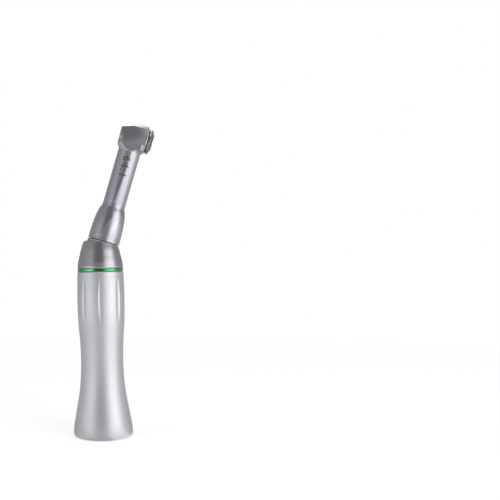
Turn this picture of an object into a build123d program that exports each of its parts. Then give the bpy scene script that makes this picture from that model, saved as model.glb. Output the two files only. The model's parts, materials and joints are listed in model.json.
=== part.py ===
"""Reduction contra-angle handpiece, 64:1, in millimetres.

The handpiece stands on its drive end. +Z runs up the grip from the middle of the base, and the neck
leans from it towards +X in the XZ plane. Three frames carry everything:

  body  the row's own frame, for the grip and the two planetary stages
  NECK  origin where the two shaft axes cross, +Z up the neck, +X to the inside of the bend
  HEAD  origin where the neck axis meets the bur axis, +Z towards the push button, +X down the neck

Turned pieces are described as outlines of (radius, height) pairs about the +Z of their own frame.
"""

import math
import os

from build123d import *

# ---------------------------------------------------------------- fits and walls
RUNNING = 0.03  # radial clearance of a turning fit
SLIDING = 0.05  # radial clearance of a sliding fit
SEAT = 0.02  # radial clearance of a fixed fit
BACKLASH = 0.05  # how much thinner than its space each tooth is

# ---------------------------------------------------------------- grip
GRIP_HEIGHT = 57.2  # base to the green ring
GRIP_TOP_R = 8.07
GRIP_BELLY_R = 8.30
GRIP_BELLY_Z = 47.0
GRIP_WAIST_R = 7.40
GRIP_WAIST_Z = 25.5
GRIP_BASE_R = 10.32
GRIP_BASE_ROUND = 1.2
GRIP_RIM_HEIGHT = 1.7
WAIST_TO_BELLY = ((0.25, 0.372), (0.76, 0.651))  # shares of the way, in radius and in height
WAIST_TO_RIM = ((0.19, 0.37), (0.69, 0.735), (0.973, 0.945))
GRIP_BORE_R = 6.75
GRIP_BASE_BORE_R = 8.40
GRIP_FLANGE_Z = 4.4  # step inside the flare that the coupling sleeve is drawn against
GRIP_FLARE_BORE_R = 7.9
GRIP_FLARE_STEP = 1.6
GRIP_FLARE_TOP_Z = 13.0
GRIP_TOP_CHAMFER = 0.35

FLUTE_COUNT = 8
FLUTE_LENGTH = 15.8
FLUTE_WIDTH = 1.8
FLUTE_DEPTH = 0.26
FLUTE_TOP_GAP = 2.7

# ---------------------------------------------------------------- motor coupling
COUPLING_BORE_R = 6.0
COUPLING_TOP_Z = 20.0
COUPLING_LEAD_IN = 0.3
FLANGE_HEIGHT = 1.3
LOCK_RING_RECESS = 0.3
LOCK_RING_BORE_R = 6.5
LOCK_PIN_HOLES = 4
LOCK_PIN_HOLE_R = 0.5
LOCK_PIN_HOLE_DEPTH = 1.2
DETENT_Z = 8.0
DETENT_WIDTH = 1.2
DETENT_DEPTH = 0.25

# ---------------------------------------------------------------- bearings
SHAFT_BEARING_BORE_R = 1.5
SHAFT_BEARING_OUTER_R = 4.0
SHAFT_BEARING_WIDTH = 3.0
NECK_BEARING_BORE_R = 1.0
NECK_BEARING_OUTER_R = 3.0
NECK_BEARING_WIDTH = 2.3
FRONT_BEARING_BORE_R = 1.5875
FRONT_BEARING_OUTER_R = 3.175
FRONT_BEARING_WIDTH = 2.38
REAR_BEARING_BORE_R = 2.0
REAR_BEARING_OUTER_R = 3.5
REAR_BEARING_WIDTH = 2.0
BALLS = 7
BALL_GAP = 0.04

# bore radius, outer radius and width of each kind
SHAFT_BEARING = (SHAFT_BEARING_BORE_R, SHAFT_BEARING_OUTER_R, SHAFT_BEARING_WIDTH)
NECK_BEARING = (NECK_BEARING_BORE_R, NECK_BEARING_OUTER_R, NECK_BEARING_WIDTH)
FRONT_BEARING = (FRONT_BEARING_BORE_R, FRONT_BEARING_OUTER_R, FRONT_BEARING_WIDTH)
REAR_BEARING = (REAR_BEARING_BORE_R, REAR_BEARING_OUTER_R, REAR_BEARING_WIDTH)

# ---------------------------------------------------------------- planetary stages
GEAR_MODULE = 0.28
GEAR_PRESSURE = 28
SUN_TEETH = 8
PLANET_TEETH = 16
RING_TEETH = SUN_TEETH + 2 * PLANET_TEETH
PLANETS = 3
PLANET_PIN_R = 0.9
CARRIER_R = 5.0
CARRIER_HEIGHT = 1.5
FIRST_STAGE_WIDTH = 2.3  # face width of its planets
SECOND_STAGE_WIDTH = 2.8
SUN_ROOT = 0.2  # how far the second sun is let into the first carrier
STAGE_GAP = 0.3  # play between a planet and the faces on either side
WASHER = 0.25
WASHER_BORE_R = 2.1
CASE_R = GRIP_BORE_R - SEAT

# ---------------------------------------------------------------- shafts of the grip
SHAFT_R = SHAFT_BEARING_BORE_R
HOLDER_LIP = 2.6  # height of the chamber the claws stand in
CHAMBER_R = 3.3
CLAW_R = 2.6
CLAW_HEIGHT = 1.4
CLAW_SLOT = 1.6
CLAW_HUB_R = 2.2
CLAW_SLOT_DEPTH = 1.2
FRONT_LIP = 0.8
FRONT_LIP_BORE_R = 2.8
SPACER_WALL = 0.6
LOCK_NUT_HEIGHT = 0.8
LOCK_NUT_GAP = 0.8  # between the lock nut and the shoulder's spigot
LOCK_NUT_BORE_R = 2.5
LOCK_NUT_SLOT = 0.8
CLIP_WIRE = 0.35
CLIP_DEPTH = 0.25
CLIP_WALL = 0.6  # how far the clip stands out of the shaft
CLIP_OPENING = 1.0

# ---------------------------------------------------------------- colour ring and shoulder
RING_HEIGHT = 1.5
RING_R = 8.02
SHOULDER_R = 8.0
SHOULDER_HEIGHT = 9.6
SHOULDER_TOP_R = 5.9
DOME = ((0.095, 0.229), (0.305, 0.448), (0.524, 0.6875), (0.738, 0.906))  # shares of the way up
SPIGOT_R = GRIP_BORE_R - SLIDING
SPIGOT_DEPTH = 3.2
O_RING_WIRE = 0.3
O_RING_SETBACK = 1.0  # of the ring's middle from the end of what carries it

# ---------------------------------------------------------------- bend
BEND_RISE = 5.1  # where the two shaft axes cross, above the shoulder's foot
BEND_ANGLE = 17.2
BEND_CAVITY_R = 3.4
BEND_STUB_R = 5.6
JOINT_T = 4.46  # start of the neck sleeve, along the neck from the bend
JOINT_GAP = 0.36
THREAD_R = 4.6
THREAD_LENGTH = 4.9
CROWN_TEETH = 16
CROWN_PITCH_R = 2.6
CROWN_FACE = 0.9
CROWN_PRESSURE = 20
CROWN_ADDENDUM = 0.25
CROWN_DEDENDUM = 0.33
CROWN_BACK = 1.0
CROWN_HUB_R = 1.8
CROWN_HUB = 1.2

# ---------------------------------------------------------------- neck
NECK_R = 3.95
NECK_BORE_R = NECK_BEARING_OUTER_R
NECK_SEAT_T = 5.0
SLEEVE_TOP_T = 16.9
SLEEVE_BASE_R = 5.58
SLEEVE_LIP_R = 4.12
SLEEVE_OGIVE = ((0.027, 0.25), (0.096, 0.441), (0.315, 0.7), (0.575, 0.857))
SLEEVE_EDGE = 0.2  # straight lands at both ends of the ogive
NECK_SHAFT_R = NECK_BEARING_BORE_R
NECK_REAR_BEARING_T = 5.5
NECK_FRONT_BEARING_T = 32.5

# ---------------------------------------------------------------- head
HEAD_T = 42.25  # bur axis, along the neck from the bend
HEAD_R = 4.5
HEAD_NOSE_R = 3.5
HEAD_NOSE_U = -4.87  # bur end of the head, along the bur axis
HEAD_TAPER_U = -1.44
HEAD_END_U = 5.0
HEAD_FLAT = 4.0  # half width over the two flats
HEAD_FLAT_END_U = 4.4
HEAD_NOSE_WALL = 0.44
HEAD_EDGE = 0.2
FLARE_R = 5.4
FLARE_TOP_N = 4.15  # edge of the flare, down the neck from the bur axis
FLARE_LOW_N = 5.35
FLARE_SAG_IN = 0.12  # how far the middle of the concave flare leaves its chord, inwards and upwards
FLARE_SAG_UP = 0.22
FLARE_CUT_ANGLE = 32  # of the facet that trims the flare under the nose
FLARE_CUT_N = 4.75
FLARE_CUT_DEPTH = 1.0
FLARE_CUT_HEIGHT = 4.2
SPINDLE_HOLE_R = 2.0

PINION_TEETH = 9
SPINDLE_GEAR_TEETH = 16
SPINDLE_GEAR_R = 3.0
SPINDLE_GEAR_FACE = 0.3  # share of the cone distance that the teeth take
SPINDLE_GEAR_PRESSURE = 25
HEAD_ADDENDUM = 0.29
HEAD_DEDENDUM = 0.37
PINION_BACK = 0.3
SPINDLE_GEAR_BACK = 0.33
PINION_HUB = 1.6
PINION_HUB_R = 1.35
PINION_BORE = 0.25  # how far the shaft reaches in behind the pinion's teeth

# ---------------------------------------------------------------- spindle, chuck and button
CHUCK_BORE_R = 1.18  # for the 2.35 mm shank
SPINDLE_R = FRONT_BEARING_BORE_R
SPINDLE_NOSE_U = -4.75
SPINDLE_EDGE = 0.1
CHUCK_LEAD_IN = 0.12
CHUCK_CHAMBER_U = 2.0
CHUCK_CHAMBER_R = 1.5
COLLET_SLOT = 0.3
COLLET_SLOTS = 3
COLLET_END_U = 4.3
COLLET_SOLID = 0.7  # unslotted length at the collet's back
REAR_BEARING_U = 2.4
CAP_LIP = 0.25
CAP_LIP_BORE_R = 1.6
CAP_THREAD_R = 3.8
CAP_NECK_R = 3.9
CAP_GROOVE = 0.4
CAP_R = 4.28
CAP_SKIRT = 0.7
CAP_CHAMFER = 0.4
CAP_TOP_R = 3.3
CAP_EDGE = 0.1
BUTTON_FACE_R = 2.9
BUTTON_EDGE = 0.2
BUTTON_SHOULDER_R = 3.1
BUTTON_SHOULDER_U = 6.25
BUTTON_FACE_U = 6.85
BUTTON_TRAVEL = 0.5
BUTTON_POCKET_U = 6.4
BUTTON_POCKET_R = 2.6
PLUNGER_R = 0.85
PLUNGER_POINT = 0.3
PLUNGER_TIP_U = 4.78
SPRING_R = 2.1
SPRING_WIRE_R = 0.14
SPRING_TURNS = 3.5

# ---------------------------------------------------------------- worked-out places
LOCK_RING_TOP_Z = GRIP_FLANGE_Z - FLANGE_HEIGHT
HOLDER_Z = COUPLING_TOP_Z
INPUT_BEARING_Z = HOLDER_Z + HOLDER_LIP
CASE_Z = INPUT_BEARING_Z + 2 * SHAFT_BEARING_WIDTH
PLANET_1_Z = CASE_Z + 3 * STAGE_GAP
CARRIER_1_Z = PLANET_1_Z + FIRST_STAGE_WIDTH + STAGE_GAP
PLANET_2_Z = CARRIER_1_Z + CARRIER_HEIGHT + WASHER + STAGE_GAP
CARRIER_2_Z = PLANET_2_Z + SECOND_STAGE_WIDTH + STAGE_GAP
CASE_TOP_Z = CARRIER_2_Z + CARRIER_HEIGHT + 2 * STAGE_GAP + WASHER
OUTPUT_BEARING_Z = CASE_TOP_Z + FRONT_LIP
SPIGOT_Z = GRIP_HEIGHT - SPIGOT_DEPTH
LOCK_NUT_Z = SPIGOT_Z - LOCK_NUT_GAP - LOCK_NUT_HEIGHT
UPPER_BEARING_Z = LOCK_NUT_Z - SHAFT_BEARING_WIDTH
SHOULDER_Z = GRIP_HEIGHT + RING_HEIGHT
BEND_Z = SHOULDER_Z + BEND_RISE
REAR_BEARING_END_U = REAR_BEARING_U + REAR_BEARING_WIDTH
CAP_LIP_U = REAR_BEARING_END_U + SLIDING
CAP_RIM_U = HEAD_END_U + CAP_GROOVE
CAP_TOP_U = CAP_RIM_U + CAP_SKIRT + CAP_CHAMFER
BUTTON_LOW_U = CAP_LIP_U + CAP_LIP + BUTTON_TRAVEL + 2 * SLIDING
FRONT_BEARING_U = HEAD_NOSE_U + HEAD_NOSE_WALL

CENTRE_DISTANCE = GEAR_MODULE * (SUN_TEETH + PLANET_TEETH) / 2
ADDENDUM = 0.8 * GEAR_MODULE
DEDENDUM = 1.0 * GEAR_MODULE

NECK = Location((0, 0, BEND_Z), (0, BEND_ANGLE, 0))
HEAD = NECK * Location((0, 0, HEAD_T), (0, 90, 0))


# ---------------------------------------------------------------- shape helpers
def turned(*outline):
    """A turned solid from its straight-sided (radius, height) outline."""
    return revolve(Plane.XZ * make_face(Polyline(*outline, close=True)), axis=Axis.Z)


def tube(inner_r, outer_r, low, high):
    """A plain ring or tube; an inner radius of 0 gives a rod."""
    return turned((inner_r, low), (outer_r, low), (outer_r, high), (inner_r, high))


def turned_curve(stations, *rest):
    """A turned solid whose first side is a smooth curve through its stations."""
    curve = Spline(*stations)
    sides = Polyline(stations[-1], *rest, stations[0])
    return revolve(Plane.XZ * make_face(curve + sides), axis=Axis.Z)


def between(start, end, shares):
    """(radius, height) points at shares of the way from one point to another."""
    (start_r, start_z), (end_r, end_z) = start, end
    return [(start_r + across * (end_r - start_r), start_z + up * (end_z - start_z)) for across, up in shares]


def around(count, shape):
    """Copies of a shape, evenly spaced about Z."""
    return [Rot(0, 0, 360 * i / count) * shape for i in range(count)]


def loop_ring(radius, wire_r, height):
    """A ring of round section, such as an O-ring."""
    return Pos(0, 0, height) * Torus(radius, wire_r)


# ---------------------------------------------------------------- gear teeth
def involute(angle):
    """The involute function of a pressure angle in radians."""
    return math.tan(angle) - angle


def flank(teeth, pitch_r, pressure, low_r, high_r, play, steps=4):
    """(radius, half angle) pairs up one flank of a tooth; play makes it thinner, or thicker below 0."""
    pressure = math.radians(pressure)
    base_r = pitch_r * math.cos(pressure)
    half = math.pi / (2 * teeth) - play / (2 * pitch_r)
    start = max(low_r, base_r)
    pairs = []
    for i in range(steps + 1):
        r = start + (high_r - start) * i / steps
        pairs.append((r, half + involute(pressure) - involute(math.acos(min(1, base_r / r)))))
    if low_r < start:
        pairs.insert(0, (low_r, pairs[0][1]))
    return pairs


def gear_outline(teeth, low_r, high_r, play, first_tooth=0.0):
    """The closed outline of a spur gear, or of an internal gear's opening, as a flat face."""
    pitch_r = teeth * GEAR_MODULE / 2
    pairs = flank(teeth, pitch_r, GEAR_PRESSURE, low_r, high_r, play)
    points = []
    for i in range(teeth):
        middle = math.radians(first_tooth) + 2 * math.pi * i / teeth
        rise = [(r, middle - half) for r, half in pairs]
        fall = [(r, middle + half) for r, half in reversed(pairs)]
        points += [(r * math.cos(a), r * math.sin(a)) for r, a in rise + fall]
    return make_face(Polyline(*points, close=True))


def spur_gear(teeth, width, first_tooth=0.0):
    """A spur gear's toothed rim from z = 0, solid to its axis."""
    pitch_r = teeth * GEAR_MODULE / 2
    return extrude(gear_outline(teeth, pitch_r - DEDENDUM, pitch_r + ADDENDUM, BACKLASH, first_tooth), width)


def wedge(outer, scale):
    """A solid between a closed outline of points and its copy scaled towards the origin."""
    inner = [p * scale for p in outer]
    faces = [Face(Wire.make_polygon(outer)), Face(Wire.make_polygon(inner))]
    for i, p in enumerate(outer):
        j = (i + 1) % len(outer)
        faces.append(Face(Wire.make_polygon([p, outer[j], inner[j], inner[i]])))
    return Solid(Shell(faces))


def bevel_gear(teeth, pitch_r, cone, pressure, addendum, dedendum, share, back, hub, bore_r, first_tooth):
    """A bevel gear with its apex at the origin and its body up +Z.

    cone is half the pitch cone's angle, share is the part of the cone distance that the teeth take,
    back is the blank's depth behind the teeth and hub the (radius, length) of the boss behind it.
    """
    cone = math.radians(cone)
    distance = pitch_r / math.sin(cone)
    along = Vector(math.sin(cone), 0, math.cos(cone))
    outward = Vector(math.cos(cone), 0, -math.sin(cone))
    inner = 1 - share

    virtual_r = pitch_r / math.cos(cone)
    virtual_teeth = teeth / math.cos(cone)
    root_r = virtual_r - dedendum
    pairs = flank(virtual_teeth, virtual_r, pressure, root_r, virtual_r + addendum, BACKLASH, 3)
    sunk = [(root_r - dedendum / 2, pairs[0][1])] + pairs
    sides = [(r, -half) for r, half in sunk] + [(r, half) for r, half in reversed(sunk)]
    section = [
        along * distance + outward * (r * math.cos(a) - virtual_r) + Vector(0, r * math.sin(a), 0)
        for r, a in sides
    ]
    tooth = wedge(section, inner)

    root = along * distance - outward * dedendum
    back_z = root.Z + back
    hub_r, hub_length = hub
    outline = [(bore_r, root.Z * inner), (root.X * inner, root.Z * inner), (root.X, root.Z), (root.X, back_z)]
    if hub_length:
        outline += [(hub_r, back_z), (hub_r, back_z + hub_length)]
    blank = turned(*outline, (bore_r, back_z + hub_length))
    return blank + [Rot(0, 0, first_tooth + 360 * i / teeth) * tooth for i in range(teeth)]


# ---------------------------------------------------------------- bearings
def bearing(size, low):
    """Outer ring, inner ring and balls of a deep-groove ball bearing standing on z = low."""
    bore_r, outer_r, width = size
    pitch_r = (bore_r + outer_r) / 2
    ball_r = (outer_r - bore_r) * 0.3
    land = ball_r * 0.62
    middle = low + width / 2
    groove = loop_ring(pitch_r, ball_r + BALL_GAP, middle)
    outer = tube(pitch_r + land, outer_r, low, low + width) - groove
    inner = tube(bore_r, pitch_r - land, low, low + width) - groove
    balls = around(BALLS, Pos(pitch_r, 0, middle) * Sphere(ball_r))
    return outer, inner, balls


def bearings(size, lows):
    """The same bearing at several heights, as three groups of solids."""
    outers, inners, balls = [], [], []
    for low in lows:
        outer, inner, loose = bearing(size, low)
        outers.append(outer)
        inners.append(inner)
        balls += loose
    return outers, inners, balls


# ---------------------------------------------------------------- grip and coupling
def grip_sheath():
    """The turned outer shell, waisted and flared, with pointed grip flutes below the ring."""
    top = GRIP_HEIGHT
    belly = (GRIP_BELLY_R, GRIP_BELLY_Z)
    waist = (GRIP_WAIST_R, GRIP_WAIST_Z)
    rim = (GRIP_BASE_R, GRIP_RIM_HEIGHT)
    rise = between(waist, belly, WAIST_TO_BELLY)
    flare = between(waist, rim, WAIST_TO_RIM)
    shell = turned_curve(
        [(GRIP_TOP_R, top - GRIP_TOP_CHAMFER), belly, *reversed(rise), waist, *flare, rim],
        (GRIP_BASE_R, GRIP_BASE_ROUND),
        (GRIP_BASE_R - GRIP_BASE_ROUND * 0.3, GRIP_BASE_ROUND * 0.3),
        (GRIP_BASE_R - GRIP_BASE_ROUND, 0),
        (GRIP_BASE_BORE_R, 0),
        (GRIP_BASE_BORE_R, GRIP_FLANGE_Z),
        (GRIP_FLARE_BORE_R, GRIP_FLANGE_Z),
        (GRIP_FLARE_BORE_R, GRIP_FLANGE_Z + GRIP_FLARE_STEP),
        (GRIP_BORE_R, GRIP_FLARE_TOP_Z),
        (GRIP_BORE_R, top),
        (GRIP_TOP_R - GRIP_TOP_CHAMFER, top),
    )
    section_r = FLUTE_WIDTH**2 / (8 * FLUTE_DEPTH) + FLUTE_DEPTH / 2
    sweep_r = FLUTE_LENGTH**2 / (8 * FLUTE_DEPTH) + FLUTE_DEPTH / 2
    middle = top - FLUTE_TOP_GAP - FLUTE_LENGTH / 2
    centre = GRIP_BELLY_R - FLUTE_DEPTH + sweep_r
    wheel = Pos(centre, 0, middle) * Rot(90, 0, 0) * Torus(sweep_r - section_r, section_r)
    return shell - around(FLUTE_COUNT, wheel)


def rear_lock_ring():
    """The threaded ring in the base that draws the coupling sleeve against its step."""
    ring = tube(LOCK_RING_BORE_R, GRIP_BASE_BORE_R - SEAT, LOCK_RING_RECESS, LOCK_RING_TOP_Z)
    middle_r = (LOCK_RING_BORE_R + GRIP_BASE_BORE_R) / 2
    pin_hole = Pos(middle_r, 0, LOCK_RING_RECESS) * Cylinder(LOCK_PIN_HOLE_R, 2 * LOCK_PIN_HOLE_DEPTH)
    return ring - around(LOCK_PIN_HOLES, pin_hole)


def coupling_sleeve():
    """The bore that the motor's nose slides into, with a detent groove and a flange at its mouth."""
    low = LOCK_RING_TOP_Z
    sleeve = turned(
        (COUPLING_BORE_R + COUPLING_LEAD_IN, low),
        (GRIP_BASE_BORE_R - SEAT, low),
        (GRIP_BASE_BORE_R - SEAT, GRIP_FLANGE_Z),
        (CASE_R, GRIP_FLANGE_Z),
        (CASE_R, COUPLING_TOP_Z),
        (COUPLING_BORE_R, COUPLING_TOP_Z),
        (COUPLING_BORE_R, low + COUPLING_LEAD_IN),
    )
    return sleeve - tube(0, COUPLING_BORE_R + DETENT_DEPTH, DETENT_Z, DETENT_Z + DETENT_WIDTH)


def rear_bearing_holder():
    """The plug above the coupling bore that carries the two input bearings round the claw chamber."""
    holder = turned(
        (CHAMBER_R, HOLDER_Z),
        (CASE_R, HOLDER_Z),
        (CASE_R, CASE_Z),
        (SHAFT_BEARING_OUTER_R, CASE_Z),
        (SHAFT_BEARING_OUTER_R, INPUT_BEARING_Z),
        (CHAMBER_R, INPUT_BEARING_Z),
    )
    return holder - loop_ring(CASE_R - O_RING_WIRE, O_RING_WIRE + SEAT, INPUT_BEARING_Z + O_RING_SETBACK)


def o_rings():
    """The rubber rings round the rear bearing holder and round the shoulder's spigot."""
    rear = loop_ring(CASE_R - O_RING_WIRE, O_RING_WIRE, INPUT_BEARING_Z + O_RING_SETBACK)
    front = loop_ring(SPIGOT_R - O_RING_WIRE, O_RING_WIRE, SPIGOT_Z + O_RING_SETBACK)
    return [rear, front]


# ---------------------------------------------------------------- planetary train
def gear_case():
    """The tube with the ring gear cut through both stages."""
    pitch_r = RING_TEETH * GEAR_MODULE / 2
    opening = gear_outline(RING_TEETH, pitch_r - ADDENDUM, pitch_r + DEDENDUM, -BACKLASH, 180 / RING_TEETH)
    height = CASE_TOP_Z - CASE_Z
    return tube(0, CASE_R, CASE_Z, CASE_TOP_Z) - Pos(0, 0, CASE_Z) * extrude(opening, height)


def sun(low, high):
    """A sun gear between two heights, one tooth towards +X."""
    return Pos(0, 0, low) * spur_gear(SUN_TEETH, high - low)


def planet_phase(index):
    """Angle of a planet's first tooth so that it meshes with the sun where it stands."""
    place = 360 * index / PLANETS
    pitch = 360 / SUN_TEETH
    lead = round(place / pitch) * pitch - place
    space = place + 180 - lead * SUN_TEETH / PLANET_TEETH
    return space + 180 / PLANET_TEETH


def planet(index, low, width):
    """One planet gear of a stage, in place round its pin."""
    place = math.radians(360 * index / PLANETS)
    gear = spur_gear(PLANET_TEETH, width, planet_phase(index)) - Cylinder(PLANET_PIN_R + RUNNING, 4 * width)
    return Pos(CENTRE_DISTANCE * math.cos(place), CENTRE_DISTANCE * math.sin(place), low) * gear


def planet_pins(low, high):
    """The pins that a carrier holds its planets on."""
    pin = Pos(CENTRE_DISTANCE, 0, low) * extrude(Circle(PLANET_PIN_R), high - low)
    return around(PLANETS, pin)


def carrier(low):
    """A carrier disc with a hole for each planet pin."""
    disc = tube(0, CARRIER_R, low, low + CARRIER_HEIGHT)
    return disc - planet_pins(low - 1, low + CARRIER_HEIGHT + 1)


def first_carrier():
    """The first carrier, with the second stage's sun gear cut on its boss."""
    disc_top = CARRIER_1_Z + CARRIER_HEIGHT
    return carrier(CARRIER_1_Z) + sun(disc_top - SUN_ROOT, PLANET_2_Z + SECOND_STAGE_WIDTH)


def thrust_washers():
    """Flat washers that keep the planets and carriers apart."""
    below = CASE_Z + STAGE_GAP
    between_stages = CARRIER_1_Z + CARRIER_HEIGHT + STAGE_GAP / 3
    above = CASE_TOP_Z - STAGE_GAP / 2 - WASHER
    return [tube(WASHER_BORE_R, CARRIER_R, low, low + WASHER) for low in (below, between_stages, above)]


# ---------------------------------------------------------------- shafts of the grip
def input_shaft():
    """The input shaft, ending in the first sun gear."""
    shaft = tube(0, SHAFT_R, HOLDER_Z + CLAW_HEIGHT, CASE_Z + STAGE_GAP)
    return shaft + sun(CASE_Z, PLANET_1_Z + FIRST_STAGE_WIDTH)


def drive_dog():
    """The slotted claw that the motor's drive engages, pressed on the input shaft."""
    low = HOLDER_Z + STAGE_GAP / 3
    dog = turned(
        (0, low),
        (CLAW_R, low),
        (CLAW_R, low + CLAW_HEIGHT),
        (CLAW_HUB_R, low + CLAW_HEIGHT + CLAW_R - CLAW_HUB_R),
        (CLAW_HUB_R, INPUT_BEARING_Z),
        (SHAFT_R, INPUT_BEARING_Z),
        (SHAFT_R, HOLDER_Z + CLAW_HEIGHT),
        (0, HOLDER_Z + CLAW_HEIGHT),
    )
    return dog - Pos(0, 0, low) * Box(3 * CLAW_R, CLAW_SLOT, 2 * CLAW_SLOT_DEPTH)


def front_bearing_holder():
    """The long sleeve that carries the two output bearings."""
    return turned(
        (FRONT_LIP_BORE_R, CASE_TOP_Z),
        (CASE_R, CASE_TOP_Z),
        (CASE_R, SPIGOT_Z),
        (SHAFT_BEARING_OUTER_R, SPIGOT_Z),
        (SHAFT_BEARING_OUTER_R, OUTPUT_BEARING_Z),
        (FRONT_LIP_BORE_R, OUTPUT_BEARING_Z),
    )


def bearing_spacer():
    """The tube between the outer rings of the output bearings."""
    low = OUTPUT_BEARING_Z + SHAFT_BEARING_WIDTH
    return tube(SHAFT_BEARING_OUTER_R - SPACER_WALL, SHAFT_BEARING_OUTER_R - SEAT, low, UPPER_BEARING_Z)


def bearing_lock_nut():
    """The slotted nut that holds the output bearings in their sleeve."""
    top = LOCK_NUT_Z + LOCK_NUT_HEIGHT
    nut = tube(LOCK_NUT_BORE_R, SHAFT_BEARING_OUTER_R - SEAT, LOCK_NUT_Z, top)
    return nut - Pos(0, 0, top) * Box(3 * SHAFT_BEARING_OUTER_R, LOCK_NUT_SLOT, LOCK_NUT_HEIGHT)


def lower_crown_gear():
    """The crown gear on top of the output shaft, tooth towards the inside of the bend."""
    gear = crown_gear(0)
    return Pos(0, 0, BEND_Z) * Rot(180, 0, 0) * gear


def upper_crown_gear():
    """The matching crown gear at the foot of the neck shaft, space towards the inside of the bend."""
    return NECK * crown_gear(180 / CROWN_TEETH)


def crown_gear(first_tooth):
    """A nearly flat bevel gear; two of them share the bend equally."""
    return bevel_gear(
        CROWN_TEETH,
        CROWN_PITCH_R,
        90 - BEND_ANGLE / 2,
        CROWN_PRESSURE,
        CROWN_ADDENDUM,
        CROWN_DEDENDUM,
        CROWN_FACE / CROWN_PITCH_R,
        CROWN_BACK,
        (CROWN_HUB_R, CROWN_HUB),
        NECK_SHAFT_R,
        first_tooth,
    )


def clip_groove(low):
    """What a shaft loses to a retaining clip's groove."""
    return tube(SHAFT_R - CLIP_DEPTH, SHAFT_R + 1, low, low + CLIP_WIRE)


def output_shaft():
    """The output shaft from the second carrier up to the lower crown gear."""
    shoulder_z = crown_hub_end()
    shaft = turned(
        (0, CARRIER_2_Z + CARRIER_HEIGHT),
        (SHAFT_R, CARRIER_2_Z + CARRIER_HEIGHT),
        (SHAFT_R, shoulder_z),
        (NECK_SHAFT_R, shoulder_z),
        (NECK_SHAFT_R, BEND_Z - CROWN_PITCH_R * math.tan(math.radians(BEND_ANGLE / 2)) - CROWN_DEDENDUM),
        (0, BEND_Z - CROWN_PITCH_R * math.tan(math.radians(BEND_ANGLE / 2)) - CROWN_DEDENDUM),
    )
    return shaft - clip_groove(LOCK_NUT_Z)


def crown_hub_end():
    """Height of the lower end of the lower crown gear's hub."""
    half = math.radians(90 - BEND_ANGLE / 2)
    return BEND_Z - CROWN_PITCH_R / math.tan(half) - CROWN_DEDENDUM * math.sin(half) - CROWN_BACK - CROWN_HUB


def output_clip():
    """The open retaining clip above the upper output bearing."""
    clip = tube(SHAFT_R - CLIP_DEPTH + SEAT, SHAFT_R + CLIP_WALL, LOCK_NUT_Z, LOCK_NUT_Z + CLIP_WIRE)
    return clip - Pos(SHAFT_R, 0, LOCK_NUT_Z) * Box(2 * SHAFT_R, CLIP_OPENING, 4 * CLIP_WIRE)


# ---------------------------------------------------------------- ring, shoulder and neck
def green_ring():
    """The colour ring between the grip and the shoulder."""
    return tube(GRIP_BORE_R, RING_R, GRIP_HEIGHT, SHOULDER_Z)


def bend_housing():
    """The domed shoulder with its spigot in the grip and its angled thread for the neck sleeve."""
    top = SHOULDER_Z + SHOULDER_HEIGHT
    foot = (SHOULDER_R, SHOULDER_Z)
    crown = (SHOULDER_TOP_R, top)
    dome = turned_curve([foot, *between(foot, crown, DOME), crown], (0, top), (0, SHOULDER_Z))
    reach = 4 * SHOULDER_R
    stub_top = JOINT_T - JOINT_GAP
    above = NECK * Pos(0, 0, stub_top + reach / 2) * Box(reach, reach, reach)
    body = dome - above
    body += NECK * tube(0, BEND_STUB_R, -1, stub_top)
    body += NECK * tube(0, THREAD_R - SEAT, 0, JOINT_T + THREAD_LENGTH - SLIDING)
    body += tube(0, SPIGOT_R, SPIGOT_Z, SHOULDER_Z)
    body -= tube(0, BEND_CAVITY_R, SPIGOT_Z, BEND_Z)
    body -= NECK * tube(0, BEND_CAVITY_R, -2, NECK_SEAT_T)
    body -= Pos(0, 0, BEND_Z) * Sphere(BEND_CAVITY_R)
    body -= NECK * tube(0, NECK_R + SEAT, NECK_SEAT_T, JOINT_T + 2 * THREAD_LENGTH)
    return body - loop_ring(SPIGOT_R - O_RING_WIRE, O_RING_WIRE + SEAT, SPIGOT_Z + O_RING_SETBACK)


def neck_sleeve():
    """The ogive union sleeve screwed on the bend housing's thread over the neck."""
    foot = (SLEEVE_BASE_R, JOINT_T + SLEEVE_EDGE)
    lip = (SLEEVE_LIP_R, SLEEVE_TOP_T - SLEEVE_EDGE)
    shape = turned_curve(
        [foot, *between(foot, lip, SLEEVE_OGIVE), lip],
        (SLEEVE_LIP_R, SLEEVE_TOP_T),
        (NECK_R + SEAT, SLEEVE_TOP_T),
        (NECK_R + SEAT, JOINT_T + THREAD_LENGTH),
        (THREAD_R, JOINT_T + THREAD_LENGTH),
        (THREAD_R, JOINT_T),
        (SLEEVE_BASE_R - SLEEVE_EDGE, JOINT_T),
    )
    return NECK * shape


def neck_shaft():
    """The long thin shaft up the neck, carrying a crown gear and the head pinion."""
    return NECK * tube(0, NECK_SHAFT_R, crown_seat_t(), HEAD_T - SPINDLE_GEAR_R + PINION_BORE)


def crown_seat_t():
    """Where the neck shaft starts, just clear of the lower crown gear."""
    return CROWN_PITCH_R * math.tan(math.radians(BEND_ANGLE / 2)) + CROWN_DEDENDUM


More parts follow.
